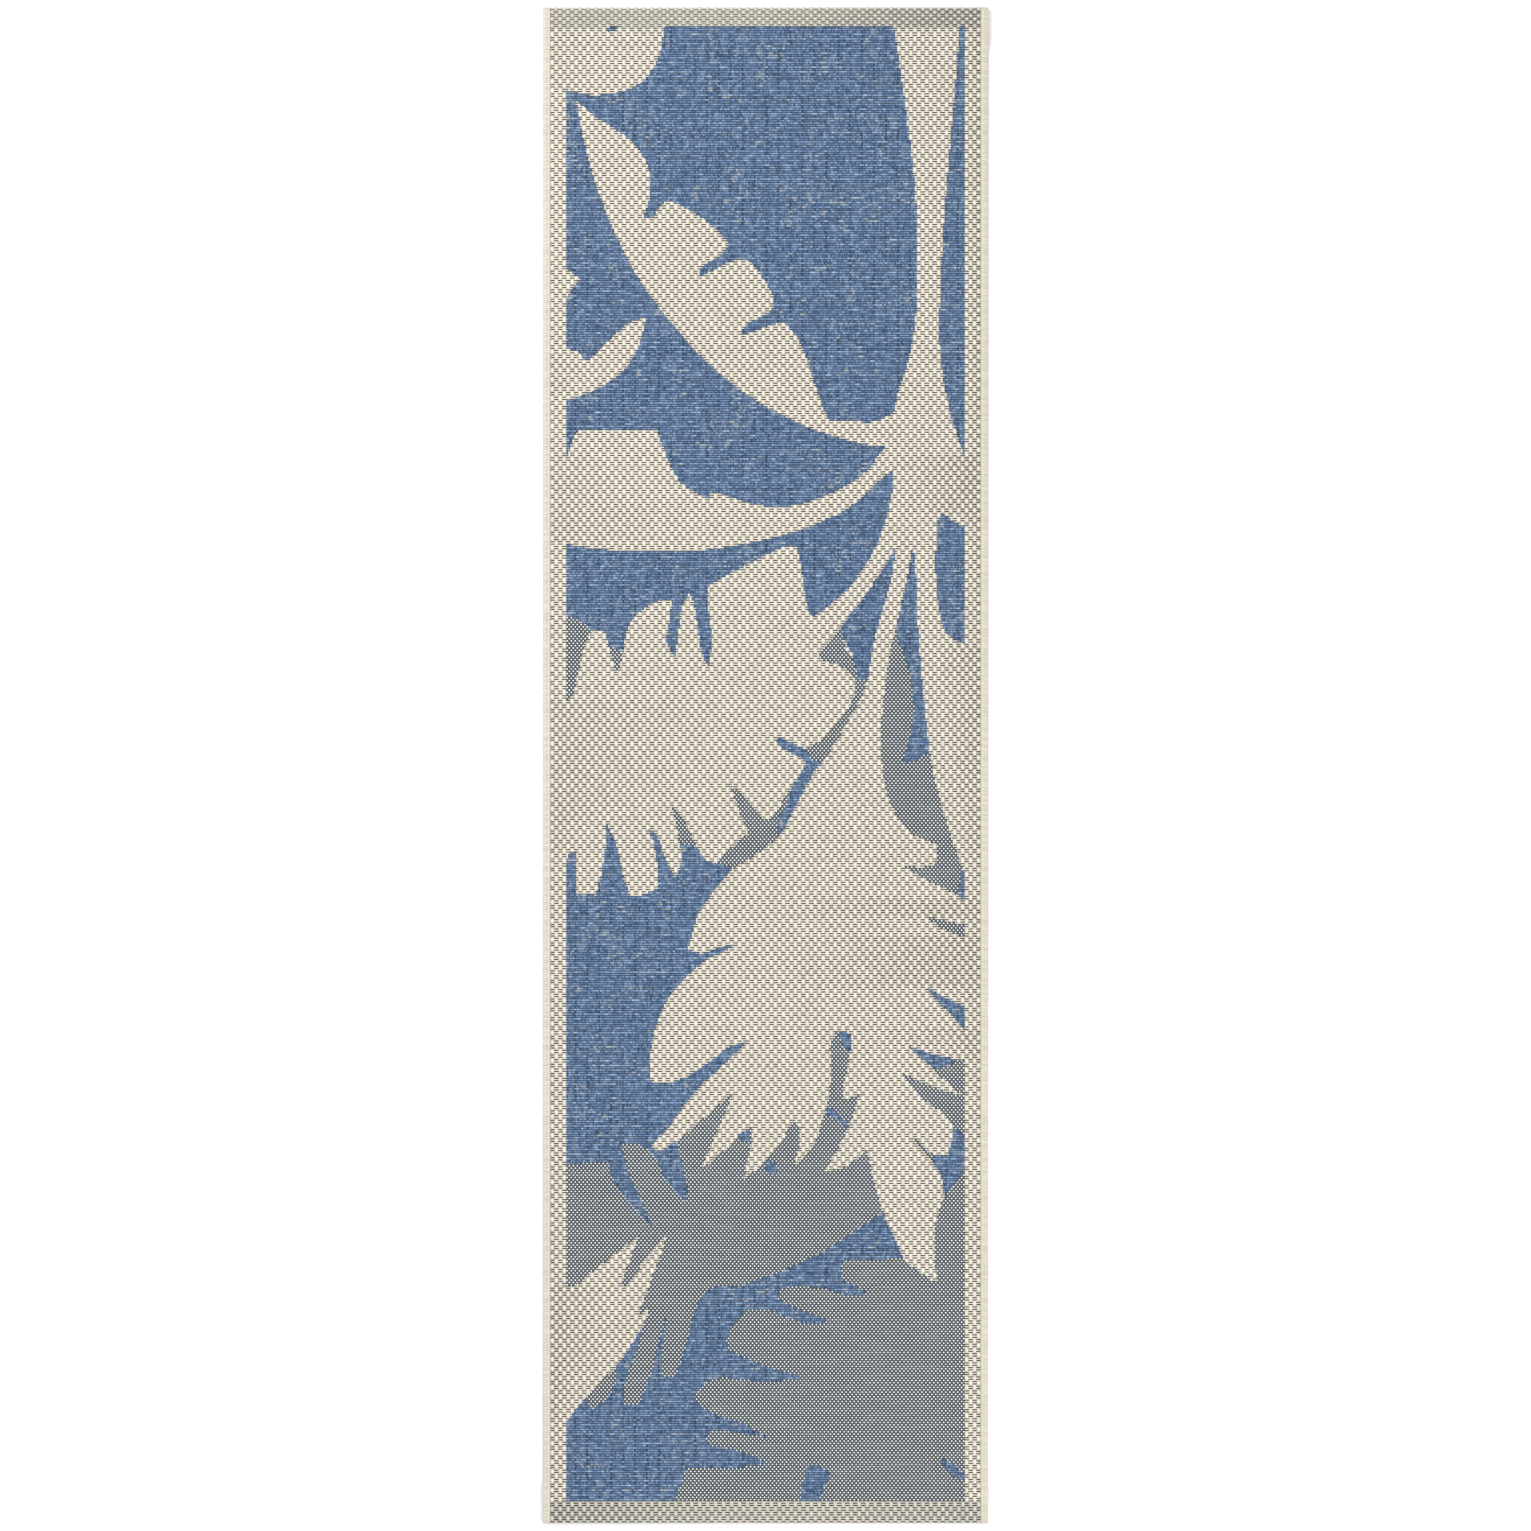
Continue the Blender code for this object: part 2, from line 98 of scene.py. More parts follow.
# The figure, painted in order over the blue field: each shape has a name, the yarn that it shows, and
# its outline in millimetres from the rug's middle, +X right and +Y to the head. An outline is a row of
# strokes: a stroke of three or more points is a smooth curve, and strokes meet at corners.
FIGURE = (
    ("trunk of the palm", IVORY, (
        [(-312, 466), (-303, 482), (-296, 504), (-287, 518)],
        [(-168, 518), (-160, 498), (-150, 470), (-134, 440), (-114, 424), (-90, 411)],
        [(-90, 411), (-80, 421), (-58, 415), (-25, 404), (20, 399), (66, 406), (120, 429), (156, 455),
         (188, 497)],
        [(250, 520), (312, 466)],
        [(312, -800), (-312, -800)],
    )),
    ("first leaf and its stalk", IVORY, (
        [(-291, 1024), (-262, 1000), (-230, 980), (-200, 955), (-181, 922), (-177, 895), (-180, 866)],
        [(-189, 843), (-171, 845)],
        [(-171, 845), (-162, 863), (-149, 870), (-126, 861), (-90, 838), (-64, 814), (-57, 800)],
        [(-57, 800), (-70, 786), (-97, 769), (-102, 753)],
        [(-102, 753), (-84, 762), (-56, 776), (-30, 781)],
        [(-30, 781), (-12, 763), (8, 731), (13, 712), (9, 700)],
        [(9, 700), (-10, 690), (-32, 677), (-40, 663)],
        [(-40, 663), (-10, 672), (12, 680), (30, 682)],
        [(30, 682), (52, 654), (66, 618), (80, 576), (90, 548), (100, 531)],
        [(100, 531), (140, 530), (170, 531), (197, 543)],
        [(197, 543), (206, 580), (222, 632), (231, 690), (234, 760), (231, 880), (219, 990),
         (205, 1090), (196, 1142)],
        [(298, 1142), (295, 1080), (285, 960), (275, 840), (269, 720), (269, 640), (278, 572),
         (293, 516), (309, 468)],
        [(250, 500), (188, 495)],
        [(188, 495), (166, 492), (120, 503), (74, 518), (20, 543), (-38, 578), (-98, 629),
         (-150, 687), (-200, 758),
         (-236, 830), (-264, 904), (-281, 968), (-291, 1024)],
    )),
    ("cloud of leaf at the head", IVORY, (
        [(-157, 1142), (-160, 1106), (-174, 1073), (-196, 1049), (-232, 1036), (-268, 1033),
         (-296, 1039), (-312, 1042)],
        [(-312, 1142)],
    )),
    ("leaf tip by the left border", IVORY, (
        [(-312, 766), (-300, 761), (-284, 749)],
        [(-284, 749), (-296, 737), (-304, 724), (-312, 719)],
    )),
    ("leaf from the left border", IVORY, (
        [(-312, 642), (-298, 641), (-288, 638)],
        [(-282, 627), (-272, 626), (-254, 642), (-232, 664), (-208, 683), (-184, 691)],
        [(-184, 691), (-189, 666), (-202, 632), (-224, 604), (-262, 579), (-312, 560)],
    )),
    ("fleck in the cloud", BLUE, (
        [(-223, 1140), (-236, 1138), (-247, 1131), (-236, 1130), (-230, 1135), (-223, 1140)],
    )),
    ("lens under the stem", BLUE, (
        [(-312, 342), (-270, 335), (-200, 329), (-120, 330), (-50, 338), (20, 353), (82, 374),
         (130, 398), (166, 430), (197, 458)],
        [(197, 458), (195, 422), (184, 374), (164, 326), (132, 279), (100, 248), (74, 229)],
        [(66, 236), (60, 268), (55, 305), (48, 339)],
        [(48, 339), (20, 334), (-20, 314), (-60, 293), (-88, 277)],
        [(-90, 268), (-87, 230), (-83, 192), (-88, 150)],
        [(-88, 150), (-99, 178), (-105, 218), (-110, 250), (-117, 267)],
        [(-117, 267), (-128, 246), (-134, 208), (-139, 168)],
        [(-139, 168), (-152, 190), (-148, 226), (-143, 256)],
        [(-143, 256), (-172, 251), (-200, 231), (-214, 205), (-219, 176)],
        [(-230, 146), (-239, 178), (-247, 205)],
        [(-258, 210), (-268, 206)],
        [(-278, 219), (-292, 226), (-312, 228)],
    )),
    ("grey behind the left leaf", GREY, (
        [(-312, 228), (-292, 226), (-268, 207)],
        [(-268, 207), (-281, 178), (-289, 142), (-296, 112), (-312, 92)],
    )),
    ("grey foot of the short finger", GREY, (
        [(-243, 187), (-233, 181), (-222, 174)],
        [(-221, 168), (-226, 150), (-230, 141)],
    )),
    ("patch by the right border", BLUE, (
        [(312, 365), (292, 375), (273, 387), (266, 381)],
        [(264, 360), (262, 310), (265, 258), (273, 216), (286, 198), (312, 184)],
    )),
    ("left slit of the crown", BLUE, (
        [(201, 339), (184, 308), (160, 272), (130, 232), (114, 208)],
        [(134, 170), (141, 128)],
        [(157, 130), (166, 184), (180, 240), (194, 290), (201, 339)],
    )),
    ("grey leaf in the left slit", GREY, (
        [(114, 209), (98, 192), (83, 172)],
        [(86, 160), (106, 158), (126, 146), (141, 130)],
        [(141, 130), (138, 156), (124, 178), (117, 206)],
    )),
    ("grey midrib", GREY, (
        [(140, 134), (136, 106), (118, 74), (90, 43), (62, 24)],
        [(60, -4), (48, -21), (37, -40), (23, -60), (8, -79), (0, -86)],
        [(0, -86), (-10, -75), (-22, -60), (-38, -43), (-55, -29)],
        [(-55, -29), (-42, -66), (-26, -104)],
        [(-26, -104), (-54, -128), (-78, -150)],
        [(-50, -160), (-8, -133), (25, -102), (47, -62), (68, -22), (94, 14), (121, 58), (145, 100),
         (157, 134)],
    )),
    ("blue length of the midrib", BLUE, (
        [(15, 39), (22, 43), (38, 36), (62, 24)],
        [(70, 8), (88, 4)],
        [(78, -4), (67, -22), (47, -62), (25, -102), (17, -106)],
        [(18, -100), (22, -80), (33, -60), (38, -40), (49, -20), (63, 4)],
        [(63, 4), (50, 14), (35, 22), (23, 27), (15, 39)],
    )),
    ("right slit of the crown", GREY, (
        [(227, 344), (219, 292), (203, 222), (188, 150), (179, 70), (181, -10), (194, -62),
         (222, -102), (264, -121)],
        [(266, -140), (262, -154)],
        [(262, -154), (235, -157), (207, -153)],
        [(207, -153), (250, -177), (290, -196), (312, -207)],
        [(312, -176), (290, -122), (268, -50), (252, 24), (243, 110), (235, 210), (232, 290), (227, 344)],
    )),
    ("blue of the right slit", BLUE, (
        [(227, 344), (219, 292), (201, 210)],
        [(207, 186), (218, 156), (229, 92), (221, 40), (211, 3)],
        [(211, 3), (236, 10), (252, 24)],
        [(252, 24), (243, 110), (235, 210), (232, 290), (227, 344)],
    )),
    ("blue heel by the right border", BLUE, (
        [(303, -158), (312, -176), (312, -207), (296, -198), (300, -180), (303, -158)],
    )),
    ("grey leaves of the foot", GREY, (
        [(-312, -575), (-190, -575)],
        [(-177, -587), (-170, -594), (-158, -592), (-138, -579), (-104, -551), (-50, -503)],
        [(-50, -503), (-66, -544), (-84, -584), (-101, -624)],
        [(-101, -624), (-76, -604), (-46, -577), (-23, -556)],
        [(-23, -556), (-23, -586), (-34, -638)],
        [(-34, -638), (-8, -617), (18, -588), (44, -545)],
        [(44, -545), (53, -566), (50, -592), (44, -614)],
        [(50, -613), (70, -592), (86, -556), (97, -512), (101, -470), (100, -430), (108, -412)],
        [(108, -412), (120, -411), (131, -420)],
        [(131, -436), (125, -470), (118, -508)],
        [(121, -518), (144, -505)],
        [(144, -505), (137, -534), (116, -581), (91, -627)],
        [(91, -627), (116, -621), (138, -608), (156, -593)],
        [(156, -593), (168, -644), (184, -696), (212, -763)],
        [(212, -763), (240, -782), (262, -797)],
        [(265, -790), (260, -748), (262, -706), (275, -664)],
        [(275, -667), (287, -648), (299, -632), (312, -612)],
        [(312, -1142), (-312, -1142)],
    )),
    ("blue ground by the left border", BLUE, (
        [(-312, -180), (-307, -148), (-299, -132)],
        [(-292, -134), (-291, -166), (-290, -199)],
        [(-262, -200), (-254, -172), (-247, -130), (-244, -91)],
        [(-244, -91), (-229, -124), (-220, -166), (-210, -200)],
        [(-192, -201), (-166, -191)],
        [(-166, -191), (-167, -152), (-173, -118), (-182, -95)],
        [(-182, -95), (-166, -112), (-152, -148), (-139, -173)],
        [(-139, -173), (-130, -150), (-133, -108), (-146, -62)],
        [(-146, -62), (-124, -88), (-106, -126), (-90, -149)],
        [(-70, -151), (-50, -159)],
        [(-50, -159), (-80, -194), (-104, -230), (-120, -284)],
        [(-120, -284), (-98, -290), (-78, -283), (-52, -276)],
        [(-52, -280), (-76, -292), (-98, -304), (-142, -347), (-168, -400), (-178, -450), (-179, -487)],
        [(-179, -487), (-150, -489), (-122, -481)],
        [(-122, -481), (-88, -458), (-56, -434), (-28, -425)],
        [(-28, -425), (-66, -462), (-110, -504), (-150, -559), (-169, -576), (-177, -587)],
        [(-170, -594), (-158, -592), (-138, -579)],
        [(-138, -579), (-129, -612), (-121, -650), (-124, -672)],
        [(-124, -672), (-153, -640), (-172, -601), (-197, -583), (-223, -584)],
        [(-223, -584), (-210, -630), (-190, -672), (-173, -714)],
        [(-173, -714), (-208, -676), (-233, -640), (-242, -613)],
        [(-262, -610), (-312, -617)],
    )),
    ("grey point of the fourth finger", GREY, (
        [(-146, -62), (-124, -88), (-106, -126)],
        [(-106, -126), (-132, -118), (-138, -90), (-146, -62)],
    )),
    ("blue ground by the lower right border", BLUE, (
        [(312, -528), (298, -542), (290, -541)],
        [(290, -560), (286, -584), (280, -603)],
        [(280, -603), (268, -600), (253, -604)],
        [(253, -604), (270, -632), (276, -668)],
        [(276, -668), (288, -648), (299, -632), (312, -618)],
    )),
    ("grey stalk by the lower right border", GREY, (
        [(220, -565), (240, -585), (262, -602)],
        [(256, -607), (238, -591), (220, -565)],
    )),
    ("first slit by the right border", GREY, (
        [(248, -232), (278, -240), (312, -246)],
        [(312, -265), (288, -258), (266, -248), (248, -232)],
    )),
    ("second slit by the right border", BLUE, (
        [(243, -339), (274, -357), (312, -373)],
        [(312, -414), (278, -376), (243, -339)],
    )),
    ("third slit by the right border", BLUE, (
        [(219, -432), (262, -446), (312, -458)],
        [(312, -512), (286, -492), (262, -469), (240, -451), (219, -432)],
    )),
    ("grey end of the third slit", GREY, (
        [(297, -452), (312, -457)],
        [(312, -514), (286, -494), (261, -470)],
        [(261, -470), (280, -463), (297, -452)],
    )),
    ("fourth slit by the right border", GREY, (
        [(206, -472), (232, -484), (268, -499), (312, -511)],
        [(312, -576), (285, -552), (262, -527), (236, -508), (206, -472)],
    )),
    ("blue in the foot's slits", BLUE, (
        [(-42, -569), (-24, -559)],
        [(-24, -580), (-38, -580)],
    )),
    ("blue spot between the foot's leaves", BLUE, (
        [(1, -609), (13, -612), (17, -626), (3, -627), (1, -609)],
    )),
    ("blue cap of the upright", BLUE, (
        [(112, -412), (124, -410), (132, -417)],
        [(132, -438), (125, -441), (118, -428), (112, -412)],
    )),
    ("blue band across the upright", BLUE, (
        [(96, -526), (107, -533), (127, -551)],
        [(125, -557), (110, -546), (96, -538)],
    )),
    ("left leaf of the foot", IVORY, (
        [(-312, -804), (-288, -798), (-256, -771), (-226, -749), (-196, -724)],
        [(-196, -724), (-204, -748), (-216, -782), (-222, -800)],
        [(-212, -802), (-197, -780), (-184, -760), (-152, -724)],
        [(-152, -724), (-162, -757), (-173, -782), (-182, -812), (-197, -847)],
        [(-197, -847), (-178, -837)],
        [(-178, -837), (-186, -858), (-210, -898), (-230, -928)],
        [(-230, -928), (-250, -945), (-277, -975), (-291, -991), (-312, -1018)],
    )),
    ("blue ground of the foot", BLUE, (
        [(180, -689), (146, -712), (96, -744), (40, -773), (-30, -800)],
        [(-30, -800), (-78, -804), (-102, -826), (-116, -868), (-126, -910), (-140, -941)],
        [(-160, -943), (-160, -910), (-153, -846)],
        [(-153, -846), (-166, -896), (-178, -945)],
        [(-180, -945), (-188, -970), (-198, -984), (-212, -987)],
        [(-219, -984), (-217, -955), (-204, -915), (-192, -880)],
        [(-191, -868), (-210, -898), (-230, -928)],
        [(-231, -950), (-238, -966), (-246, -979), (-256, -984), (-265, -993)],
        [(-265, -993), (-272, -984), (-277, -975)],
        [(-291, -991), (-312, -1018)],
        [(-312, -1142), (-140, -1142)],
        [(-140, -1132), (-130, -1106), (-121, -1081)],
        [(-121, -1081), (-60, -1084), (3, -1075)],
        [(3, -1075), (-40, -1057), (-88, -1047)],
        [(-92, -1038), (-80, -1025), (-40, -1029), (3, -1035)],
        [(3, -1035), (-36, -1014), (-84, -998), (-111, -977)],
        [(-111, -977), (-94, -953), (-66, -943)],
        [(-66, -943), (0, -949), (62, -943)],
        [(62, -943), (0, -926), (-57, -901)],
        [(-61, -888), (-48, -860), (-28, -836)],
        [(-28, -836), (10, -840), (54, -858), (102, -857)],
        [(102, -857), (60, -842), (18, -823)],
        [(18, -823), (24, -808), (40, -802)],
        [(40, -802), (90, -806), (130, -817), (158, -814)],
        [(158, -814), (142, -804), (120, -793)],
        [(115, -776), (124, -762)],
        [(213, -760), (196, -722), (180, -689)],
    )),
    ("blue spot at the foot", BLUE, (
        [(62, -1081), (78, -1079), (102, -1091)],
        [(92, -1108), (76, -1142)],
        [(53, -1142), (55, -1114), (61, -1098), (62, -1081)],
    )),
    ("blue sliver at the foot", BLUE, (
        [(265, -1065), (286, -1075), (312, -1096)],
        [(312, -1101), (290, -1095), (265, -1065)],
    )),
)


def linear(hex_colour):
    """An sRGB hex colour as the linear red, green and blue that Blender works in."""
    channels = [int(hex_colour[start:start + 2], 16) / 255 for start in (1, 3, 5)]
    return [c / 12.92 if c <= 0.04045 else ((c + 0.055) / 1.055) ** 2.4 for c in channels]


def length_setting(name, description, default):
    """A size in metres that a user may change."""
    return FloatProperty(name=name, description=description, default=default, min=0.0,
                         precision=5, unit="LENGTH", subtype="DISTANCE")


def colour_setting(name, description, hex_colour):
    """A yarn or finish colour that a user may change."""
    return FloatVectorProperty(name=name, description=description, default=linear(hex_colour),
                               size=3, min=0.0, max=1.0, subtype="COLOR")


class RugClothSettings(PropertyGroup):
    """Sizes of the cloth and of the way it lies."""

    thickness: length_setting("Cloth thickness", "Nominal thickness of the cloth", 3.4 * MM)
    hem_space: length_setting("Hem space", "Gap between the cloth and its turned-under hem", 1.1 * MM)
    hem_depth: length_setting("Hem depth", "Length of cloth under each end", 37 * MM)
    ramp_length: length_setting("Ramp length", "Run over which the cloth climbs onto its hem", 30 * MM)
    ramp_gap: length_setting("Ramp gap", "From the top of the ramp to the hem's raw edge", 7.15 * MM)
    columns: IntProperty(name="Columns", description="Warp columns between the two sergings",
                         default=216, min=2)
    border_columns: IntProperty(name="Border columns", description="Columns in each plain side border",
                                default=8, min=0)
    picks: IntProperty(name="Picks", description="Weft picks over the whole length of the cloth",
                       default=674, min=2)
    close_start: length_setting("Close picks from", "Where the picks close up, from the rug's middle",
                                1137 * MM)
    close_length: length_setting("Close picks over", "Length of cloth with picks beaten closer", 35 * MM)
    close_share: FloatProperty(name="Close pitch", description="Their pitch as a share of the usual one",
                               default=0.72, min=0.3, max=1.0, subtype="FACTOR")
    field_head: length_setting("Field to head", "From the rug's middle to the head end of the field",
                               1139 * MM)
    field_foot: length_setting("Field to foot", "From the rug's middle to the foot end of the field",
                               1131.5 * MM)


class RugYarnSettings(PropertyGroup):
    """Sizes of the yarns."""

    rib_thickness: length_setting("Rib thickness", "Height of one rib of weft, both faces", 2.4 * MM)
    rib_overlap: FloatProperty(name="Rib overlap", description="Width of a rib as a share of the pick",
                               default=1.09, min=1.0, max=1.3, subtype="FACTOR")
    # Rib faces outside the crest take the darker valley materials, which paint the shade between ribs.
    crest_width: FloatProperty(name="Crest width", description="Light top of a rib, share of the pick",
                               default=0.50, min=0.1, max=0.9, subtype="FACTOR")
    fold_crest_width: FloatProperty(name="Crest width on a fold", description="The same round a fold",
                                    default=0.78, min=0.1, max=0.9, subtype="FACTOR")
    float_width: length_setting("Float width", "Width of an ivory float over two columns", 6.4 * MM)
    float_gap: length_setting("Float gap", "Gap between floats in one column", 0.15 * MM)
    float_top: length_setting("Float top", "Top of a float above the middle of the cloth", 1.95 * MM)
    tie_top: length_setting("Tie top", "Top of a pale tie above the middle of the cloth", 1.65 * MM)
    tie_width: length_setting("Tie width", "Width of a pale tie over one column", 3.05 * MM)
    tie_length: length_setting("Tie length", "Length of a pale tie over one pick", 3.3 * MM)
    wrap_pitch: length_setting("Wrap pitch", "Spacing of the wraps along a serged edge", 2.06 * MM)
    wrap_relief: length_setting("Wrap relief", "Height of a wrap's yarn above the band", 0.35 * MM)
    wrap_slant: FloatProperty(name="Wrap slant", description="Lean of each wrap across the band",
                              default=math.radians(9), subtype="ANGLE")
    overlock_pitch: length_setting("Overlock pitch", "Spacing of the loops on a hem's raw edge", 3 * MM)


class RugColourSettings(PropertyGroup):
    """Colours of the yarns."""

    blue_light: colour_setting("Blue, light", "Lightest fibre of the heathered blue", "#9eb6d2")
    blue_middle: colour_setting("Blue, middle", "Main fibre of the heathered blue", "#617ca0")
    blue_dark: colour_setting("Blue, dark", "Darkest fibre of the heathered blue", "#415a7a")
    blue_fleck: colour_setting("Blue's fleck", "Pale slub caught in the blue", "#b4b9b9")
    ivory: colour_setting("Ivory", "Face of the ivory floats and ribs", "#e4ded1")
    ivory_shade: colour_setting("Ivory, shaded", "Dull side of the ivory yarn", "#c6bfb1")
    # This dark colour is partly the ground yarn and partly painted shade in the valleys between ivory ribs.
    ivory_ground_and_shade: colour_setting("Ivory's ground", "Ground that shows between ivory ribs", "#38322a")
    pale: colour_setting("Pale grey", "Ties over the charcoal ground", "#fafdff")
    charcoal: colour_setting("Charcoal", "Ground of the grey leaves", "#5e6567")
    charcoal_blue: colour_setting("Navy fibre", "Bluer fibre in the charcoal ground", "#555f6b")
    serging: colour_setting("Serging", "Yarn that wraps the long edges", "#ded7c8")
    thread: colour_setting("Hem thread", "Thread of the blind stitch", "#dcd3c2")
    label: colour_setting("Label", "Blank satin tape", "#f1efe9")
    floor: colour_setting("Floor", "Matte floor under the rug", "#fdfdfc")


class RugStageSettings(PropertyGroup):
    """Floor, lights and camera."""

    floor_size: length_setting("Floor size", "Side of the floor", 14.0)
    focal_length: FloatProperty(name="Focal length", description="Camera lens, in millimetres",
                                default=85.0, min=1.0)
    frame_side: length_setting("Frame side", "Side of the square that the camera sees at the rug",
                               2.357)
    sky_strength: FloatProperty(name="Sky", description="Strength of the even light", default=0.46,
                                min=0.0)
    lamp_power: FloatProperty(name="Lamp power", description="Power of each soft lamp, in watts",
                              default=172.05, min=0.0)


# ---------------------------------------------------------------- small tools

def add_node(tree, kind, inputs=(), stops=(), **settings):
    """Adds a node with its settings, its inputs and a ramp's (place, colour) stops.

    Inputs come in the order of its sockets, or by name or number, each a value or a link.
    """
    made = tree.nodes.new(kind)
    for name, value in settings.items():
        setattr(made, name, value)
    for key, value in inputs.items() if isinstance(inputs, dict) else enumerate(inputs):
        if isinstance(value, bpy.types.NodeSocket):
            tree.links.new(value, made.inputs[key])
        else:
            made.inputs[key].default_value = value
    if stops:
        elements = made.color_ramp.elements
        while len(elements) < len(stops):
            elements.new(1.0)
        for element, (place, colour) in zip(elements, stops):
            element.position = place
            element.color = colour
    return made


def new_material(name, roughness, specular, sheen=0.0):
    """A material with its shader's own values set, and the shader and tree to build on."""
    material = bpy.data.materials.new(name)
    material.use_nodes = True
    tree = material.node_tree
    shader = tree.nodes["Principled BSDF"]
    shader.inputs["Roughness"].default_value = roughness
    shader.inputs["Specular IOR Level"].default_value = specular
    shader.inputs["Sheen Weight"].default_value = sheen
    shader.inputs["Sheen Roughness"].default_value = 0.5
    return material, tree, shader


def tone(colour, share=1.0):
    """The colour at the given share of its brightness, with its alpha."""
    return (*(channel * share for channel in colour[:3]), 1.0)


def deselect_everything():
    """Clears the selection, since loading the model leaves its nodes selected."""
    if bpy.context.object and bpy.context.object.mode != "OBJECT":
        bpy.ops.object.mode_set(mode="OBJECT")
    bpy.ops.object.select_all(action="DESELECT")


def select_by(mesh, domain, test):
    """In edit mode, selects the faces, edges or vertices that pass a test, and nothing else."""
    bpy.ops.mesh.select_mode(type={"polygons": "FACE", "edges": "EDGE", "vertices": "VERT"}[domain])
    bpy.ops.mesh.select_all(action="DESELECT")
    bpy.ops.object.mode_set(mode="OBJECT")
    for item in getattr(mesh, domain):
        item.select = bool(test(item))
    bpy.ops.object.mode_set(mode="EDIT")


def take_shape(thing):
    """The points and faces of a modelled shape, whose object is then removed."""
    mesh = thing.data
    points = np.empty(len(mesh.vertices) * 3)
    mesh.vertices.foreach_get("co", points)
    faces = [tuple(polygon.vertices) for polygon in mesh.polygons]
    bpy.data.objects.remove(thing)
    return points.reshape(-1, 3), faces


def copy_faces(points, faces, copies):
    """The faces of all the copies of a shape, when their points follow one another."""
    return [tuple(len(points) * copy + corner for corner in face)
            for copy in range(copies) for face in faces]


def add_piece(name, points, faces, materials, face_material=None):
    """A piece of the rug with its place in its mesh, riding on the rug's one body."""
    mesh = bpy.data.meshes.new(name)
    mesh.from_pydata(points, [], faces)
    for material in materials:
        mesh.materials.append(material)
    if face_material is not None:
        mesh.polygons.foreach_set("material_index", face_material)
    mesh.shade_smooth()
    mesh.update()
    piece = bpy.data.objects.new(name, mesh)
    bpy.context.scene.collection.objects.link(piece)
    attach(piece, BODY)
    return piece


def add_uv_map(piece, name, corner_places):
    """Gives a piece a UV map from one (u, v) for each face corner, in face order."""
    layer = piece.data.uv_layers.new(name=name)
    layer.data.foreach_set("uv", np.asarray(corner_places, dtype=np.float32).ravel())


def corner_vertices(piece):
    """The vertex number of each face corner."""
    numbers = np.empty(len(piece.data.loops), dtype=np.int32)
    piece.data.loops.foreach_get("vertex_index", numbers)
    return numbers


# ---------------------------------------------------------------- the way the cloth lies

def trace(start, lengths, headings, step=0.0001):
    """Points of a path in the YZ plane. Its heading turns evenly along each length."""
    marks = np.concatenate([[0.0], np.cumsum(lengths)])
    stations = np.arange(0.0, marks[-1] + step, step)
    middles = np.interp((stations[1:] + stations[:-1]) / 2, marks, headings)
    y = start[0] + np.concatenate([[0.0], np.cumsum(np.cos(middles) * np.diff(stations))])
    z = start[1] + np.concatenate([[0.0], np.cumsum(np.sin(middles) * np.diff(stations))])
    return stations, y, z, np.interp(stations, marks, headings)


class ClothPath:
    """The middle of the cloth, from one raw edge to the other.

    Distances along it are signed, and zero is the rug's middle. Each end climbs a low ramp, lies
    level over its hem, and turns under through half a circle.
    """

    # Length in metres added past the raw edge, so that yarn that stands past it still has a place.
    SPARE = 0.006

    # Least lean from level, in radians, that counts as on a fold, and the most that still shows the face.
    FOLD_LEAN, FACE_LEAN = 0.3, 1.0

    def __init__(self, cloth):
        low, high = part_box("woven_panel")
        self.half_length = (high.y - low.y) / 2
        self.half_thick = cloth.thickness / 2
        rise = cloth.thickness + cloth.hem_space
        fold_radius = rise / 2
        ramp_turn = 2 * math.atan(rise / cloth.ramp_length)
        ramp_arc = cloth.ramp_length / 2 * ramp_turn / math.sin(ramp_turn)
        fold_centre = self.half_length - fold_radius - self.half_thick
        self.raw_edge = self.half_length - cloth.hem_depth
        self.ramp_top = self.raw_edge - cloth.ramp_gap
        level = fold_centre - self.ramp_top
        flat = self.ramp_top - cloth.ramp_length
        under = fold_centre - self.raw_edge
        lengths = [flat, ramp_arc, ramp_arc, level, math.pi * fold_radius, under, self.SPARE]
        headings = [0.0, 0.0, ramp_turn, 0.0, 0.0, -math.pi, -math.pi, -math.pi]
        self.reach = sum(lengths) - self.SPARE
        self.ramp_turn = ramp_turn
        self.ramp_radius = ramp_arc / ramp_turn
        self.stations, self.y, self.z, self.heading = trace((0.0, self.half_thick), lengths, headings)

    def place(self, x, along, lift):
        """World points for places across the rug, along the cloth and above its middle."""
        away = np.abs(along)
        side = np.where(along < 0, -1.0, 1.0)
        heading = np.interp(away, self.stations, self.heading)
        y = side * (np.interp(away, self.stations, self.y) - lift * np.sin(heading))
        z = np.interp(away, self.stations, self.z) + lift * np.cos(heading)
        return np.stack(np.broadcast_arrays(x, y, z), axis=-1)


def bake_place(x, along, path, band_low=0.0, band_high=1.0):
    """Lays the cloth out in two columns, head half and foot half, in one band of the bake map."""
    across = np.clip(x / BAKE_CLOTH + 0.5, 0.0, 1.0) * BAKE_COLUMN + BAKE_MARGIN
    across = across + np.where(along < 0, 0.5, 0.0)
    up = np.clip(np.abs(along) / (path.reach + path.SPARE), 0.0, 1.0)
    return np.stack([across, band_low + up * (band_high - band_low)], axis=-1)


# ---------------------------------------------------------------- the figure

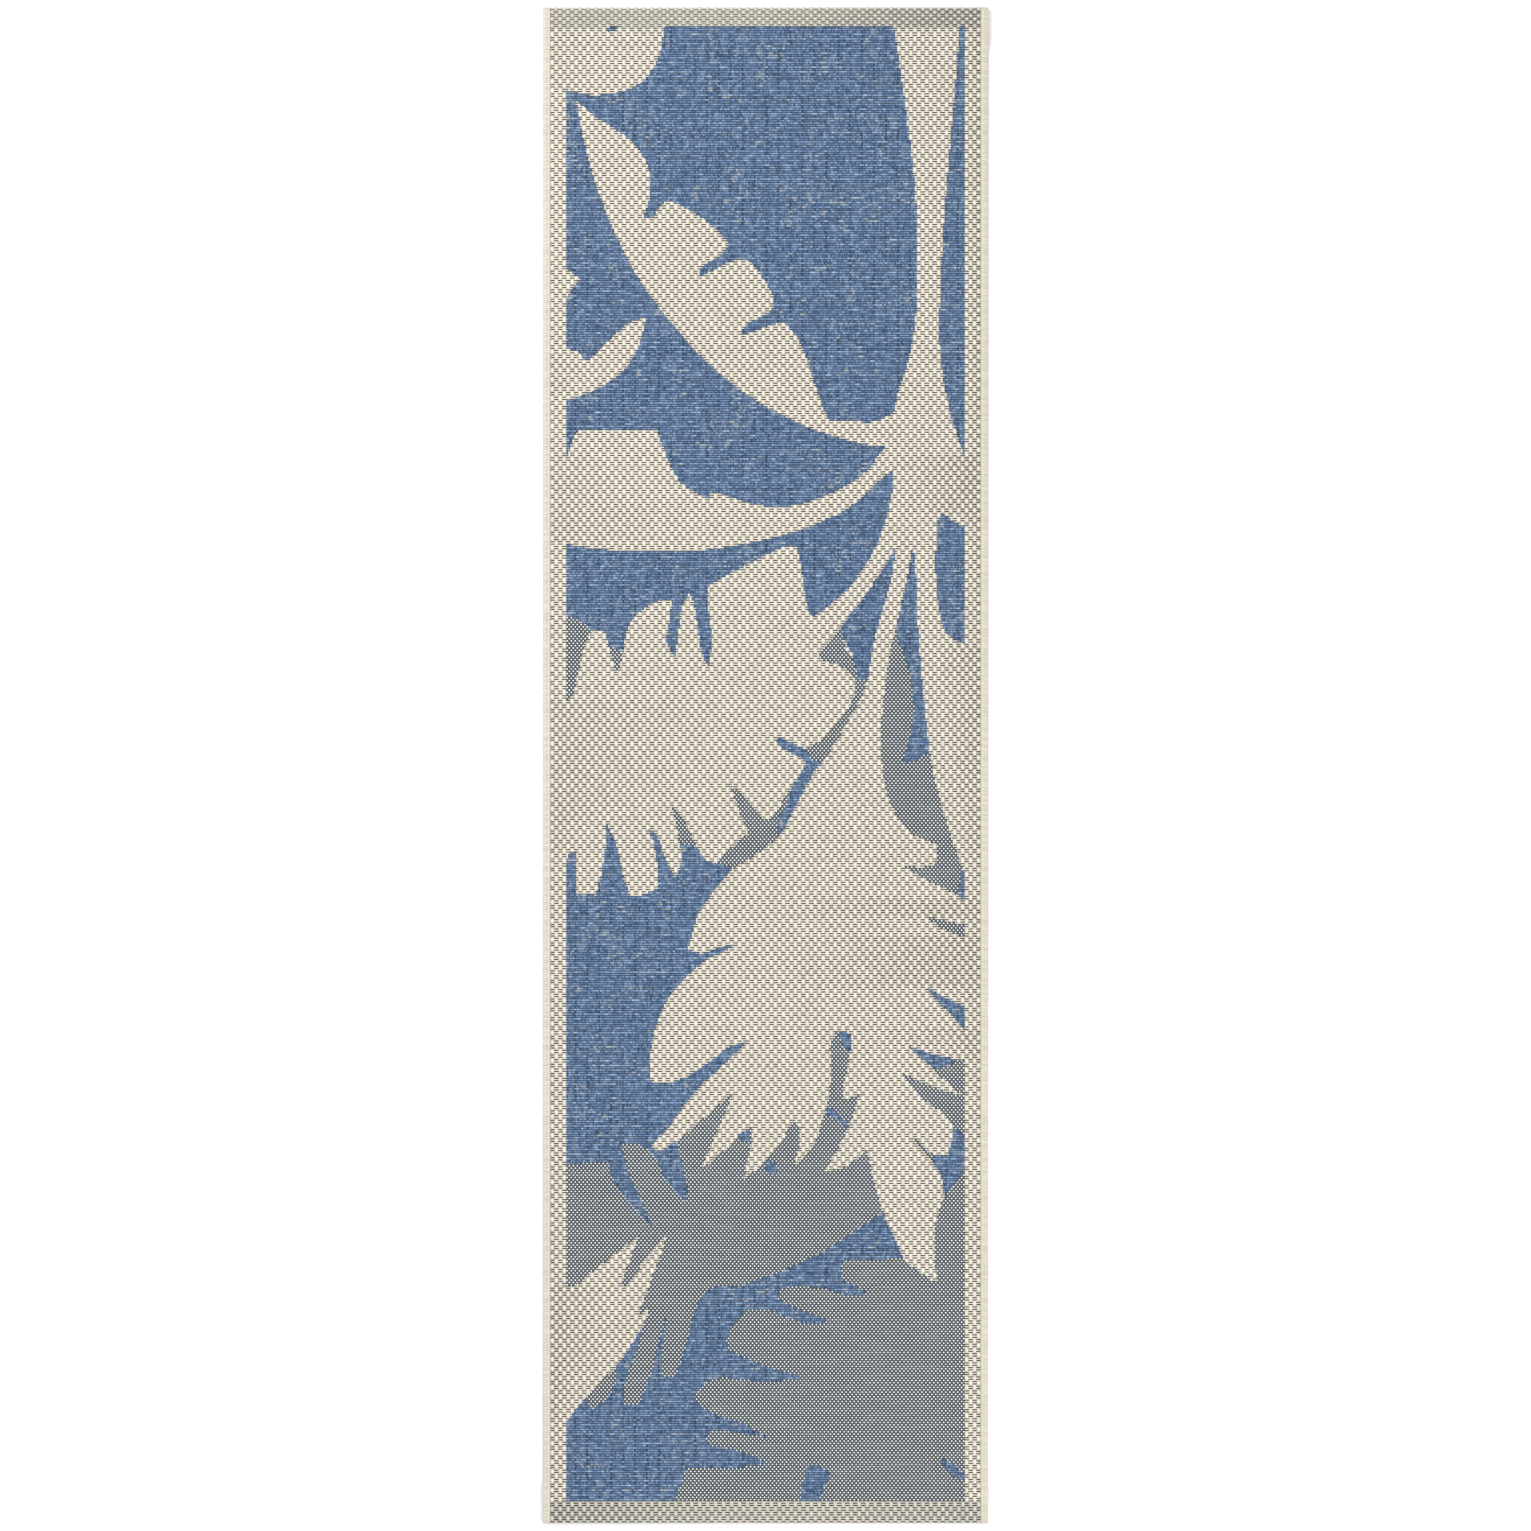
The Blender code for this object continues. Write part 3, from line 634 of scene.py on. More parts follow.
def smooth_curve(stroke, steps=8):
    """A stroke's points with a curve that passes through each of them."""
    points = np.array(stroke, dtype=float)
    if len(points) < 3:
        return points
    line = np.concatenate([[2 * points[0] - points[1]], points, [2 * points[-1] - points[-2]]])
    t = np.linspace(0.0, 1.0, steps, endpoint=False)[:, None]
    pieces = []
    for before, start, end, after in zip(line, line[1:], line[2:], line[3:]):
        curve = 2 * start + (end - before) * t
        curve = curve + (2 * before - 5 * start + 4 * end - after) * t ** 2
        curve = curve + (3 * start - before - 3 * end + after) * t ** 3
        pieces.append(curve / 2)
    return np.concatenate(pieces + [points[-1:]])


def paint_shape(yarns, column_x, pick_y, strokes, yarn):
    """Gives a yarn to the cells whose middles lie inside a closed outline."""
    ring = np.concatenate([smooth_curve(stroke) for stroke in strokes]) * MM
    after = np.roll(ring, -1, axis=0)
    for pick, y in enumerate(pick_y):
        crossed = (ring[:, 1] <= y) != (after[:, 1] <= y)
        if not crossed.any():
            continue
        start, end = ring[crossed], after[crossed]
        share = (y - start[:, 1]) / (end[:, 1] - start[:, 1])
        crossing = start[:, 0] + share * (end[:, 0] - start[:, 0])
        inside = (crossing[:, None] < column_x[None, :]).sum(axis=0) % 2 == 1
        yarns[pick, inside] = yarn


class Weave:
    """Where the columns and picks lie, and the yarn that each cell shows on the face."""

    def __init__(self, rug):
        cloth = rug.cloth
        self.path = ClothPath(cloth)
        self.half_width = -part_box("left_serging")[1].x
        self.column = 2 * self.half_width / cloth.columns
        self.pick_along, self.pick_pitch = self.space_picks(cloth)
        self.column_edges = -self.half_width + self.column * np.arange(cloth.columns + 1)
        column_x = (self.column_edges[1:] + self.column_edges[:-1]) / 2
        placed = self.path.place(0.0, self.pick_along, 0.0)
        heading = np.interp(np.abs(self.pick_along), self.path.stations, self.path.heading)
        on_face = heading > -self.path.FACE_LEAN
        in_field = on_face & (placed[:, 1] < cloth.field_head) & (placed[:, 1] > -cloth.field_foot)
        pick_y = np.where(in_field, placed[:, 1], OUTSIDE)
        self.field = np.zeros((cloth.picks, cloth.columns), dtype=bool)
        self.field[in_field, cloth.border_columns:cloth.columns - cloth.border_columns] = True
        painted = np.full(self.field.shape, BLUE)
        for _, yarn, strokes in FIGURE:
            paint_shape(painted, column_x, pick_y, strokes, yarn)
        self.yarns = np.where(self.field, painted, IVORY)

    def space_picks(self, cloth):
        """Where each pick lies along the cloth, and the width that it takes up."""
        reach = self.path.reach
        marks = np.array([-reach, cloth.close_start, cloth.close_start + cloth.close_length, reach])
        shares = np.array([1.0, cloth.close_share, 1.0])
        counted = np.concatenate([[0.0], np.cumsum(np.diff(marks) / shares)])
        counted = counted * cloth.picks / counted[-1]
        edges = np.interp(np.arange(cloth.picks + 1), counted, marks)
        return (edges[1:] + edges[:-1]) / 2, np.diff(edges)

    def on_fold(self, along):
        """Whether places along the cloth lie where it turns under at an end."""
        heading = np.interp(np.abs(along), self.path.stations, self.path.heading)
        return (heading < -self.path.FOLD_LEAN) & (heading > self.path.FOLD_LEAN - math.pi)

    def number_picks(self, pick, along):
        """The weave map's pick number at a distance along the cloth, near the given pick."""
        return pick + 0.5 + (along - self.pick_along[pick]) / self.pick_pitch[pick]


# ---------------------------------------------------------------- finishes

def weave_place(tree):
    """The weave map's place across the columns and along the picks, and the cell's column and pick."""
    uv = add_node(tree, "ShaderNodeUVMap", uv_map=WEAVE_MAP).outputs["UV"]
    x, y = add_node(tree, "ShaderNodeSeparateXYZ", (uv,)).outputs[:2]
    column = add_node(tree, MATH, (x,), operation="FLOOR").outputs[0]
    pick = add_node(tree, MATH, (y,), operation="FLOOR").outputs[0]
    return x, y, column, pick


def noise(tree, x, y, x_scale, y_scale, detail=2.0, roughness=0.6):
    """Noise over two coordinates, each stretched by its own scale."""
    across = add_node(tree, MATH, (x, x_scale), operation="MULTIPLY").outputs[0]
    along = add_node(tree, MATH, (y, y_scale), operation="MULTIPLY").outputs[0]
    place = add_node(tree, "ShaderNodeCombineXYZ", (across, along)).outputs[0]
    made = add_node(tree, "ShaderNodeTexNoise", {"Vector": place, "Scale": 1.0, "Detail": detail,
                                                 "Roughness": roughness}, noise_dimensions="2D")
    return made.outputs["Fac"]


def chance(tree, column, pick):
    """An even random value for each cell of the weave."""
    cell = add_node(tree, "ShaderNodeCombineXYZ", (column, pick)).outputs[0]
    return add_node(tree, "ShaderNodeTexWhiteNoise", (cell,), noise_dimensions="2D").outputs["Value"]


def add_fibre_bump(tree, shader, x, y, strength, distance=0.3 * MM):
    """Fine ridges of fibre along a rib, too small for the mesh to hold."""
    fibres = noise(tree, x, y, 1.5, 9.0, detail=1.0)
    bump = add_node(tree, "ShaderNodeBump", {"Height": fibres, "Strength": strength, "Distance": distance})
    tree.links.new(bump.outputs["Normal"], shader.inputs["Normal"])


def blue_heather(colours, name, brightness):
    """Space-dyed polypropylene weft: short light and dark streaks with dark specks and pale slubs.

    The eye sees a denim-like blue whose streaks change at every pick. Here and there light and dark
    picks take turns, and a faint dotted line runs down the cloth at each dent of the reed. The noise
    counts columns of 3.1 mm and picks of 3.6 mm, so streaks are about 11 mm long and specks 3 mm.
    """
    # A brightness below one gives the darker copy that paints the shade in the valleys between ribs.
    material, tree, shader = new_material(name, 0.78, 0.25, sheen=0.06)
    x, y, column, pick = weave_place(tree)
    row = chance(tree, pick, pick)
    streak = noise(tree, x, row, 0.27, STREAK_ROWS, detail=4.0, roughness=0.8)
    streak = add_node(tree, RANGE, (streak, 0.27, 0.73)).outputs[0]
    colour = add_node(tree, RAMP, (streak,), stops=(
        (0.0, tone(colours.blue_dark, brightness)),
        (0.5, tone(colours.blue_middle, brightness)),
        (1.0, tone(colours.blue_light, brightness)),
    )).outputs[0]

    speck = noise(tree, x, row, 1.1, SPECK_ROWS, detail=0.0)
    speck = add_node(tree, RANGE, (speck, 0.64, 0.74, 0.0, 0.85)).outputs[0]
    speck_colour = tone(colours.blue_dark, brightness * 0.7)
    colour = add_node(tree, MIX, {0: speck, 6: colour, 7: speck_colour}, **LAID_OVER).outputs[2]
    slub = noise(tree, x, row, 0.28, SLUB_ROWS, detail=1.0)
    slub = add_node(tree, RANGE, (slub, 0.60, 0.72, 0.0, 0.7)).outputs[0]
    patch = noise(tree, x, y, 0.07, 0.06, detail=1.0)
    patch = add_node(tree, RANGE, (patch, 0.48, 0.60, 0.25, 1.0)).outputs[0]
    slub = add_node(tree, MATH, (slub, patch), operation="MULTIPLY").outputs[0]
    slub_colour = tone(colours.blue_fleck, brightness)
    colour = add_node(tree, MIX, {0: slub, 6: colour, 7: slub_colour}, **LAID_OVER).outputs[2]

    second = add_node(tree, MATH, (pick, 2.0), operation="MODULO").outputs[0]
    swing = add_node(tree, MATH, (0.5, second), operation="SUBTRACT").outputs[0]
    swell = noise(tree, x, y, 0.16, 0.16)
    swell = add_node(tree, RANGE, (swell, 0.3, 0.7, 0.0, 0.42)).outputs[0]
    beat = add_node(tree, MATH, (swing, swell, 1.0), operation="MULTIPLY_ADD").outputs[0]

    in_dent = add_node(tree, MATH, (column, COLUMNS_PER_DENT), operation="MODULO").outputs[0]
    dent = add_node(tree, RANGE, (in_dent, 0.5, 1.0, 1.0, 0.0)).outputs[0]
    pull = noise(tree, column, y, 7.7, 0.05, detail=1.0)
    pull = add_node(tree, RANGE, (pull, 0.35, 0.65, 0.1, 0.95)).outputs[0]
    for share in (dent, second):
        pull = add_node(tree, MATH, (pull, share), operation="MULTIPLY").outputs[0]
    pull_colour = tone(colours.blue_dark, brightness * 0.6)
    colour = add_node(tree, MIX, {0: pull, 6: colour, 7: pull_colour}, **LAID_OVER).outputs[2]
    colour = add_node(tree, MIX, {0: 1.0, 6: colour, 7: beat}, **MULTIPLIED).outputs[2]
    tree.links.new(colour, shader.inputs["Base Color"])
    add_fibre_bump(tree, shader, x, y, 0.5)
    return material


def streaked_ground(name, colours, brightness):
    """Charcoal polypropylene weft under the pale ties: some picks run bluer, some greener."""
    # A brightness below one gives the darker copy that paints the shade in the valleys between ribs.
    material, tree, shader = new_material(name, 0.8, 0.2, sheen=0.05)
    x, y, _, pick = weave_place(tree)
    streak = noise(tree, x, pick, 0.04, 7.7, detail=3.0)
    colour = add_node(tree, RAMP, (streak,), stops=(
        (0.36, tone(colours.charcoal_blue, brightness)),
        (0.50, tone(colours.charcoal, brightness * 0.86)),
        (0.64, tone(colours.charcoal, brightness * 1.2)),
    )).outputs[0]
    tree.links.new(colour, shader.inputs["Base Color"])
    add_fibre_bump(tree, shader, x, y, 0.5)
    return material


def plain_yarn(name, light, dark, speck=1.2, end_shade=1.0):
    """Polypropylene yarn of one colour, with a slow change of shade along it and cell by cell.

    The eye sees a matte, slightly uneven yarn. Where an end shade is given, painted shade darkens the two
    end borders.
    """
    material, tree, shader = new_material(name, 0.8, 0.2, sheen=0.05)
    x, y, column, pick = weave_place(tree)
    fibre = noise(tree, x, y, 0.8, 2.3)
    cell = chance(tree, column, pick)
    shade = add_node(tree, MATH, (fibre, cell), operation="ADD").outputs[0]
    shade = add_node(tree, RANGE, (shade, 1.0 - speck / 2, 1.0 + speck / 2)).outputs[0]
    colour = add_node(tree, RAMP, (shade,), stops=((0.0, tone(dark)), (1.0, tone(light)))).outputs[0]
    # Painted shade: the colour darkens, a little bluer, over the two end borders.
    if end_shade < 1.0:
        spot = add_node(tree, "ShaderNodeTexCoord").outputs["Object"]
        length = add_node(tree, "ShaderNodeSeparateXYZ", (spot,)).outputs["Y"]
        away = add_node(tree, MATH, (length,), operation="ABSOLUTE").outputs[0]
        end_shade_colour = tone(END_SHADE_TINT, end_shade)
        end_shaded = add_node(tree, MIX, {0: 1.0, 6: colour, 7: end_shade_colour}, **MULTIPLIED).outputs[2]
        in_end_shade = add_node(tree, RANGE, (away, END_SHADE_FROM, END_SHADE_TO)).outputs[0]
        colour = add_node(tree, MIX, {0: in_end_shade, 6: colour, 7: end_shaded}, **LAID_OVER).outputs[2]
    tree.links.new(colour, shader.inputs["Base Color"])
    add_fibre_bump(tree, shader, x, y, 0.4)
    return material


def twisted_yarn(name, colour, twist_mm):
    """Plied spun yarn read in object space: the eye sees fine slanted lines, one ply apart, with painted
    shade in the grooves between plies.
    """
    material, tree, shader = new_material(name, 0.7, 0.25, sheen=0.08)
    spot = add_node(tree, "ShaderNodeTexCoord").outputs["Object"]
    turned = add_node(tree, "ShaderNodeMapping", {"Vector": spot, "Rotation": (0.0, 0.0, math.radians(35))})
    # A wave of scale one repeats every pi / 10 metres.
    plies = add_node(tree, "ShaderNodeTexWave",
                     {"Vector": turned.outputs[0], "Scale": math.pi / (10 * twist_mm * MM),
                      "Distortion": 1.5, "Detail": 1.0, "Detail Scale": 1.0}).outputs["Fac"]
    # Painted shade: the colour is darkest in the grooves between plies, where the bump is low.
    shade = add_node(tree, RAMP, (plies,), stops=((0.0, tone(colour, 0.78)), (1.0, tone(colour))))
    tree.links.new(shade.outputs[0], shader.inputs["Base Color"])
    bump = add_node(tree, "ShaderNodeBump", {"Height": plies, "Strength": 0.4, "Distance": 0.2 * MM})
    tree.links.new(bump.outputs["Normal"], shader.inputs["Normal"])
    return material


def wrap_yarn(name, colour):
    """Soft filament serging yarn: creamy, with a slow change of shade from wrap to wrap."""
    material, tree, shader = new_material(name, 0.62, 0.3, sheen=0.1)
    x, y, _, pick = weave_place(tree)
    wrap = chance(tree, pick, pick)
    fibre = noise(tree, x, y, 0.7, 4.1)
    shade = add_node(tree, MATH, (wrap, fibre), operation="ADD").outputs[0]
    shade = add_node(tree, RANGE, (shade, 0.7, 1.3)).outputs[0]
    shade = add_node(tree, RAMP, (shade,), stops=((0.0, tone(colour, 0.84)), (1.0, tone(colour))))
    tree.links.new(shade.outputs[0], shader.inputs["Base Color"])
    add_fibre_bump(tree, shader, x, y, 0.4)
    return material


def label_satin(colour):
    """Woven satin tape: smooth and bright, with a fine rib that only shows close up."""
    material, tree, shader = new_material("satin_tape", 0.35, 0.5, sheen=0.1)
    x, y = weave_place(tree)[:2]
    rib = noise(tree, x, y, 0.4, 3.0, detail=1.0)
    shade = add_node(tree, RAMP, (rib,), stops=((0.3, tone(colour, 0.93)), (0.7, tone(colour))))
    tree.links.new(shade.outputs[0], shader.inputs["Base Color"])
    add_fibre_bump(tree, shader, x, y, 0.2, 0.1 * MM)
    return material


# ---------------------------------------------------------------- the cloth

# Height of a rib's shoulders as a share of its crest's, and of its edges on a fold as a share of its
# thickness.
SHOULDER_SHARE, FOLD_LIFT_SHARE = 0.74, 0.22

# How far a rib runs into each serging, how near a cell's edge its place in the weave map may come, and
# the height at which floats and ties leave a rib, as a share of its crest's.
TUCK = 2 * MM
CELL_MARGIN = 0.01
FLOAT_BASE_SHARE = 0.4


def rib_outline(yarn, crest_width, tip_lift):
    """Section of a rib of weft, anticlockwise seen from +X: (along, as a share of its pitch, lift)."""
    tip = yarn.rib_overlap / 2
    shoulder = crest_width / 2
    top = yarn.rib_thickness / 2
    shoulder_lift = top * SHOULDER_SHARE
    return np.array([
        (tip, tip_lift), (shoulder, shoulder_lift), (0.0, top), (-shoulder, shoulder_lift),
        (-tip, tip_lift), (-shoulder, -shoulder_lift), (0.0, -top), (shoulder, -shoulder_lift),
    ])


def weave_ribs(weave, yarn, materials):
    """One closed rib of weft for each pick, cut into runs where the yarn on the face changes."""
    flat_outline = rib_outline(yarn, yarn.crest_width, 0.0)
    fold_outline = rib_outline(yarn, yarn.fold_crest_width, yarn.rib_thickness * FOLD_LIFT_SHARE)
    sides = len(flat_outline)
    yarns = weave.yarns
    picks, columns = yarns.shape
    ringed = np.ones((picks, columns + 1), dtype=bool)
    ringed[:, 1:-1] = yarns[:, 1:] != yarns[:, :-1]
    ring_pick, ring_column = np.nonzero(ringed)
    ring_x = weave.column_edges[ring_column]
    ring_x = ring_x - np.where(ring_column == 0, TUCK, 0.0) + np.where(ring_column == columns, TUCK, 0.0)
    folded = weave.on_fold(weave.pick_along[ring_pick])
    outline = np.where(folded[:, None, None], fold_outline, flat_outline)
    along = weave.pick_along[ring_pick][:, None] + outline[:, :, 0] * weave.pick_pitch[ring_pick][:, None]
    lift = outline[:, :, 1]
    x = np.broadcast_to(ring_x[:, None], along.shape)
    points = weave.path.place(x, along, lift).reshape(-1, 3)

    starts = np.nonzero(ring_pick[1:] == ring_pick[:-1])[0]
    near = starts[:, None] * sides + np.arange(sides)[None, :]
    near_next = starts[:, None] * sides + (np.arange(sides)[None, :] + 1) % sides
    quads = np.stack([near, near_next, near_next + sides, near + sides], axis=-1).reshape(-1, 4)
    first_rings = np.nonzero(ring_column == 0)[0]
    last_rings = np.nonzero(ring_column == columns)[0]
    start_caps = first_rings[:, None] * sides + np.arange(sides)[::-1]
    end_caps = last_rings[:, None] * sides + np.arange(sides)
    faces = quads.tolist() + start_caps.tolist() + end_caps.tolist()

    run_yarn = yarns[ring_pick[starts], ring_column[starts]]
    # The sides of a rib beside its tips lie in the valleys, and the second half of them on the back.
    valley = np.isin(np.arange(sides), (0, 3, 4, 7))
    back = np.arange(sides) >= sides // 2
    shown = np.where(back[None, :], YARN_ON_BACK[run_yarn][:, None], run_yarn[:, None])
    # Valley faces take the materials three slots on: darker copies that paint the shade between ribs.
    face_material = (shown + 3 * valley[None, :]).reshape(-1)
    cap_count = len(start_caps) + len(end_caps)
    face_material = np.concatenate([face_material, np.full(cap_count, IVORY)])
    piece = add_piece("weft_cloth", points, faces, materials, face_material)

    corners = corner_vertices(piece)
    corner_x, corner_along = x.reshape(-1)[corners], along.reshape(-1)[corners]
    corner_pick = ring_pick.repeat(sides)[corners]
    add_uv_map(piece, WEAVE_MAP, np.stack([
        (corner_x + weave.half_width) / weave.column,
        np.clip(weave.number_picks(corner_pick, corner_along),
                corner_pick + CELL_MARGIN, corner_pick + 1 - CELL_MARGIN),
    ], axis=-1))

    # Crests, valleys and backs each have a band of the bake map, so that none lies over another.
    face_kind = np.concatenate([
        np.tile(np.where(back, 2, np.where(valley, 1, 0)), len(starts)), np.full(cap_count, 2)])
    corner_kind = np.repeat(face_kind, [len(face) for face in faces])
    # In its band a crest is stretched to fill its pick, and the other sides are drawn in a little.
    bands = ((0.0, 0.78), (0.80, 0.89), (0.91, 1.0))
    pick_middle = weave.pick_along[corner_pick]
    spread = np.where(corner_kind == 0, 1.0 / yarn.crest_width, 0.9)
    bake_along = pick_middle + (corner_along - pick_middle) * spread
    bake = np.zeros((len(corners), 2))
    for kind, (low, high) in enumerate(bands):
        chosen = corner_kind == kind
        bake[chosen] = bake_place(corner_x[chosen], bake_along[chosen], weave.path, low, high)
    add_uv_map(piece, BAKE_MAP, bake)
    return piece


def model_float(cuts=()):
    """A short bulging float of yarn in a box two wide, two long and one high, rounded in plan.

    Cuts across it, given as places along its length, let a copy bend round a fold.
    """
    corner_cut, top_width, top_length = 0.55, 0.60, 0.66
    deselect_everything()
    bpy.ops.mesh.primitive_cube_add(size=2.0, location=(0.0, 0.0, 0.0))
    thing = bpy.context.object
    bpy.ops.object.mode_set(mode="EDIT")
    select_by(thing.data, "edges", lambda edge: abs(
        thing.data.vertices[edge.vertices[0]].co.z - thing.data.vertices[edge.vertices[1]].co.z) > 1.0)
    bpy.ops.mesh.bevel(offset=corner_cut, offset_type="OFFSET", segments=1, affect="EDGES")
    select_by(thing.data, "polygons", lambda face: face.normal.z > 0.9)
    bpy.ops.transform.resize(value=(top_width, top_length, 1.0))
    for cut in cuts:
        bpy.ops.mesh.select_all(action="SELECT")
        bpy.ops.mesh.bisect(plane_co=(0.0, cut, 0.0), plane_no=(0.0, 1.0, 0.0))
    bpy.ops.object.mode_set(mode="OBJECT")
    points, faces = take_shape(thing)
    points[:, 2] = (points[:, 2] + 1.0) / 2
    return points, faces


def model_tie():
    """A small round tie of yarn over one warp column, six-sided with a narrower top."""
    top_radius, top_stretch = 0.55, 1.1
    deselect_everything()
    bpy.ops.mesh.primitive_cone_add(vertices=6, radius1=1.0, radius2=top_radius, depth=1.0,
                                    location=(0.0, 0.0, 0.5))
    thing = bpy.context.object
    bpy.ops.object.transform_apply(location=True, rotation=True, scale=True)
    bpy.ops.object.mode_set(mode="EDIT")
    select_by(thing.data, "polygons", lambda face: face.normal.z > 0.9)
    bpy.ops.transform.resize(value=(top_stretch, 1.0, 1.0))
    bpy.ops.object.mode_set(mode="OBJECT")
    return take_shape(thing)


def lay_copies(weave, name, shape, middles, half_sizes, base, top, material):
    """One copy of a float or tie at each middle, in one piece that follows the cloth."""
    points, faces = shape
    x = middles[:, 0, None] + points[None, :, 0] * half_sizes[:, 0, None]
    along = middles[:, 1, None] + points[None, :, 1] * half_sizes[:, 1, None]
    lift = base + (top - base) * points[:, 2]
    placed = weave.path.place(x, along, lift).reshape(-1, 3)
    piece = add_piece(name, placed, copy_faces(points, faces, len(middles)), [material])
    corners = corner_vertices(piece)
    copy_of_corner = corners // len(points)
    corner_x, corner_along = x.reshape(-1)[corners], along.reshape(-1)[corners]
    pick = np.searchsorted(weave.pick_along + weave.pick_pitch / 2, middles[:, 1])
    add_uv_map(piece, WEAVE_MAP, np.stack([
        (middles[:, 0] + weave.half_width) / weave.column,
        weave.number_picks(pick, middles[:, 1])], axis=-1)[copy_of_corner])
    add_uv_map(piece, BAKE_MAP, bake_place(corner_x, corner_along, weave.path))
    return piece


def find_floats(weave, yarn):
    """Middles and half sizes of the ivory floats, cut short where the ivory stops."""
    ivory = np.pad(weave.yarns == IVORY, ((1, 1), (0, 0)))
    picks, columns = weave.yarns.shape
    pick, pair = np.meshgrid(np.arange(0, picks, 2), np.arange(columns // 2), indexing="ij")
    alternate = (pick // 2 + pair) % 2 == 0
    pick, pair = pick[alternate], pair[alternate]
    left, right = ivory[pick + 1, 2 * pair], ivory[pick + 1, 2 * pair + 1]
    keep = left | right
    pick, pair, left, right = pick[keep], pair[keep], left[keep], right[keep]
    shown = np.where(left, 2 * pair, 2 * pair + 1)
    below, above = ivory[pick, shown], ivory[pick + 2, shown]
    spare = (yarn.float_width - 2 * weave.column) / 2
    middle_x = weave.column_edges[2 * pair + 1]
    from_x = np.where(left, middle_x - weave.column - spare, middle_x)
    to_x = np.where(right, middle_x + weave.column + spare, middle_x)
    pitch = weave.pick_pitch[pick]
    reach = pitch - yarn.float_gap / 2
    from_along = weave.pick_along[pick] - np.where(below, reach, pitch * 0.5)
    to_along = weave.pick_along[pick] + np.where(above, reach, pitch * 0.5)
    middles = np.stack([(from_x + to_x) / 2, (from_along + to_along) / 2], axis=-1)
    half_sizes = np.stack([(to_x - from_x) / 2, (to_along - from_along) / 2], axis=-1)
    return middles, half_sizes, weave.field[pick, 2 * pair]


def find_ties(weave, yarn):
    """Middles and half sizes of the pale ties: every other cell of the grey leaves."""
    picks, columns = weave.yarns.shape
    pick, column = np.meshgrid(np.arange(picks), np.arange(columns), indexing="ij")
    chosen = (weave.yarns == GREY) & ((pick + column) % 2 == 0)
    pick, column = pick[chosen], column[chosen]
    middle_x = (weave.column_edges[column] + weave.column_edges[column + 1]) / 2
    middles = np.stack([middle_x, weave.pick_along[pick]], axis=-1)
    half = np.array([yarn.tie_width, yarn.tie_length]) / 2
    return middles, np.tile(half, (len(middles), 1))


# ---------------------------------------------------------------- edges, hems and label

# Room left round each loop's tile of the bake map, as a share of the tile.
TILE_MARGIN = 0.07

# Half width of a loop's yarn as a share of the loops' spacing: serging wraps touch, overlock loops don't.
SERGING_SHARE, OVERLOCK_SHARE = 0.52, 0.45

# How far a wrap stands below the cloth's back.
WRAP_DROP = 0.05 * MM


def model_wrap(half_across, half_up, yarn_half_width, yarn_half_height, corners=10):
    """A flat loop of yarn round an edge, in the XZ plane, with half-round ends."""
    deselect_everything()
    bpy.ops.mesh.primitive_circle_add(vertices=corners, radius=half_up, rotation=(math.pi / 2, 0.0, 0.0))
    thing = bpy.context.object
    bpy.ops.object.transform_apply(location=True, rotation=True, scale=True)
    bpy.ops.object.mode_set(mode="EDIT")
    for side in (-1, 1):
        select_by(thing.data, "vertices", lambda vertex: side * vertex.co.x > half_up * 0.01)
        bpy.ops.transform.translate(value=(side * (half_across - half_up), 0.0, 0.0))
    bpy.ops.object.mode_set(mode="OBJECT")
    bpy.ops.object.convert(target="CURVE")
    thing.data.bevel_depth = yarn_half_height
    thing.data.bevel_resolution = 0
    bpy.ops.object.convert(target="MESH")
    bpy.ops.object.mode_set(mode="EDIT")
    bpy.ops.mesh.select_all(action="SELECT")
    bpy.ops.mesh.remove_doubles(threshold=0.000001)
    bpy.ops.transform.resize(value=(1.0, yarn_half_width / yarn_half_height, 1.0))
    bpy.ops.mesh.normals_make_consistent(inside=False)
    bpy.ops.object.mode_set(mode="OBJECT")
    return take_shape(thing)


def tile_places(points, faces, copies):
    """Bake-map corners that give each copy of a loop its own tile, unrolled round the loop."""
    per_side = math.ceil(math.sqrt(copies))
    corners = np.concatenate([np.array(face) for face in faces])
    middle = points.mean(axis=0)
    turn = np.arctan2(points[:, 2] - middle[2], points[:, 0] - middle[0]) / (2 * math.pi) + 0.5
    width = (points[:, 1] - points[:, 1].min()) / max(np.ptp(points[:, 1]), MM * MM)
    local = np.stack([turn[corners], width[corners]], axis=-1) * (1 - 2 * TILE_MARGIN) + TILE_MARGIN
    copy = np.arange(copies)
    origin = np.stack([copy % per_side, copy // per_side], axis=-1)
    return ((local[None, :, :] + origin[:, None, :]) / per_side).reshape(-1, 2)


def lay_wraps(name, shape, placed, along_wrap, material):
    """One piece from copies of a wrap, given the world points of each copy."""
    points, faces = shape
    copies = len(placed)
    piece = add_piece(name, placed.reshape(-1, 3), copy_faces(points, faces, copies), [material])
    corners = corner_vertices(piece)
    turn = np.tile(points[:, 0] / (2 * MM), copies)[corners]
    add_uv_map(piece, WEAVE_MAP, np.stack([turn, along_wrap.reshape(-1)[corners]], axis=-1))
    add_uv_map(piece, BAKE_MAP, tile_places(points, faces, copies))
    return piece


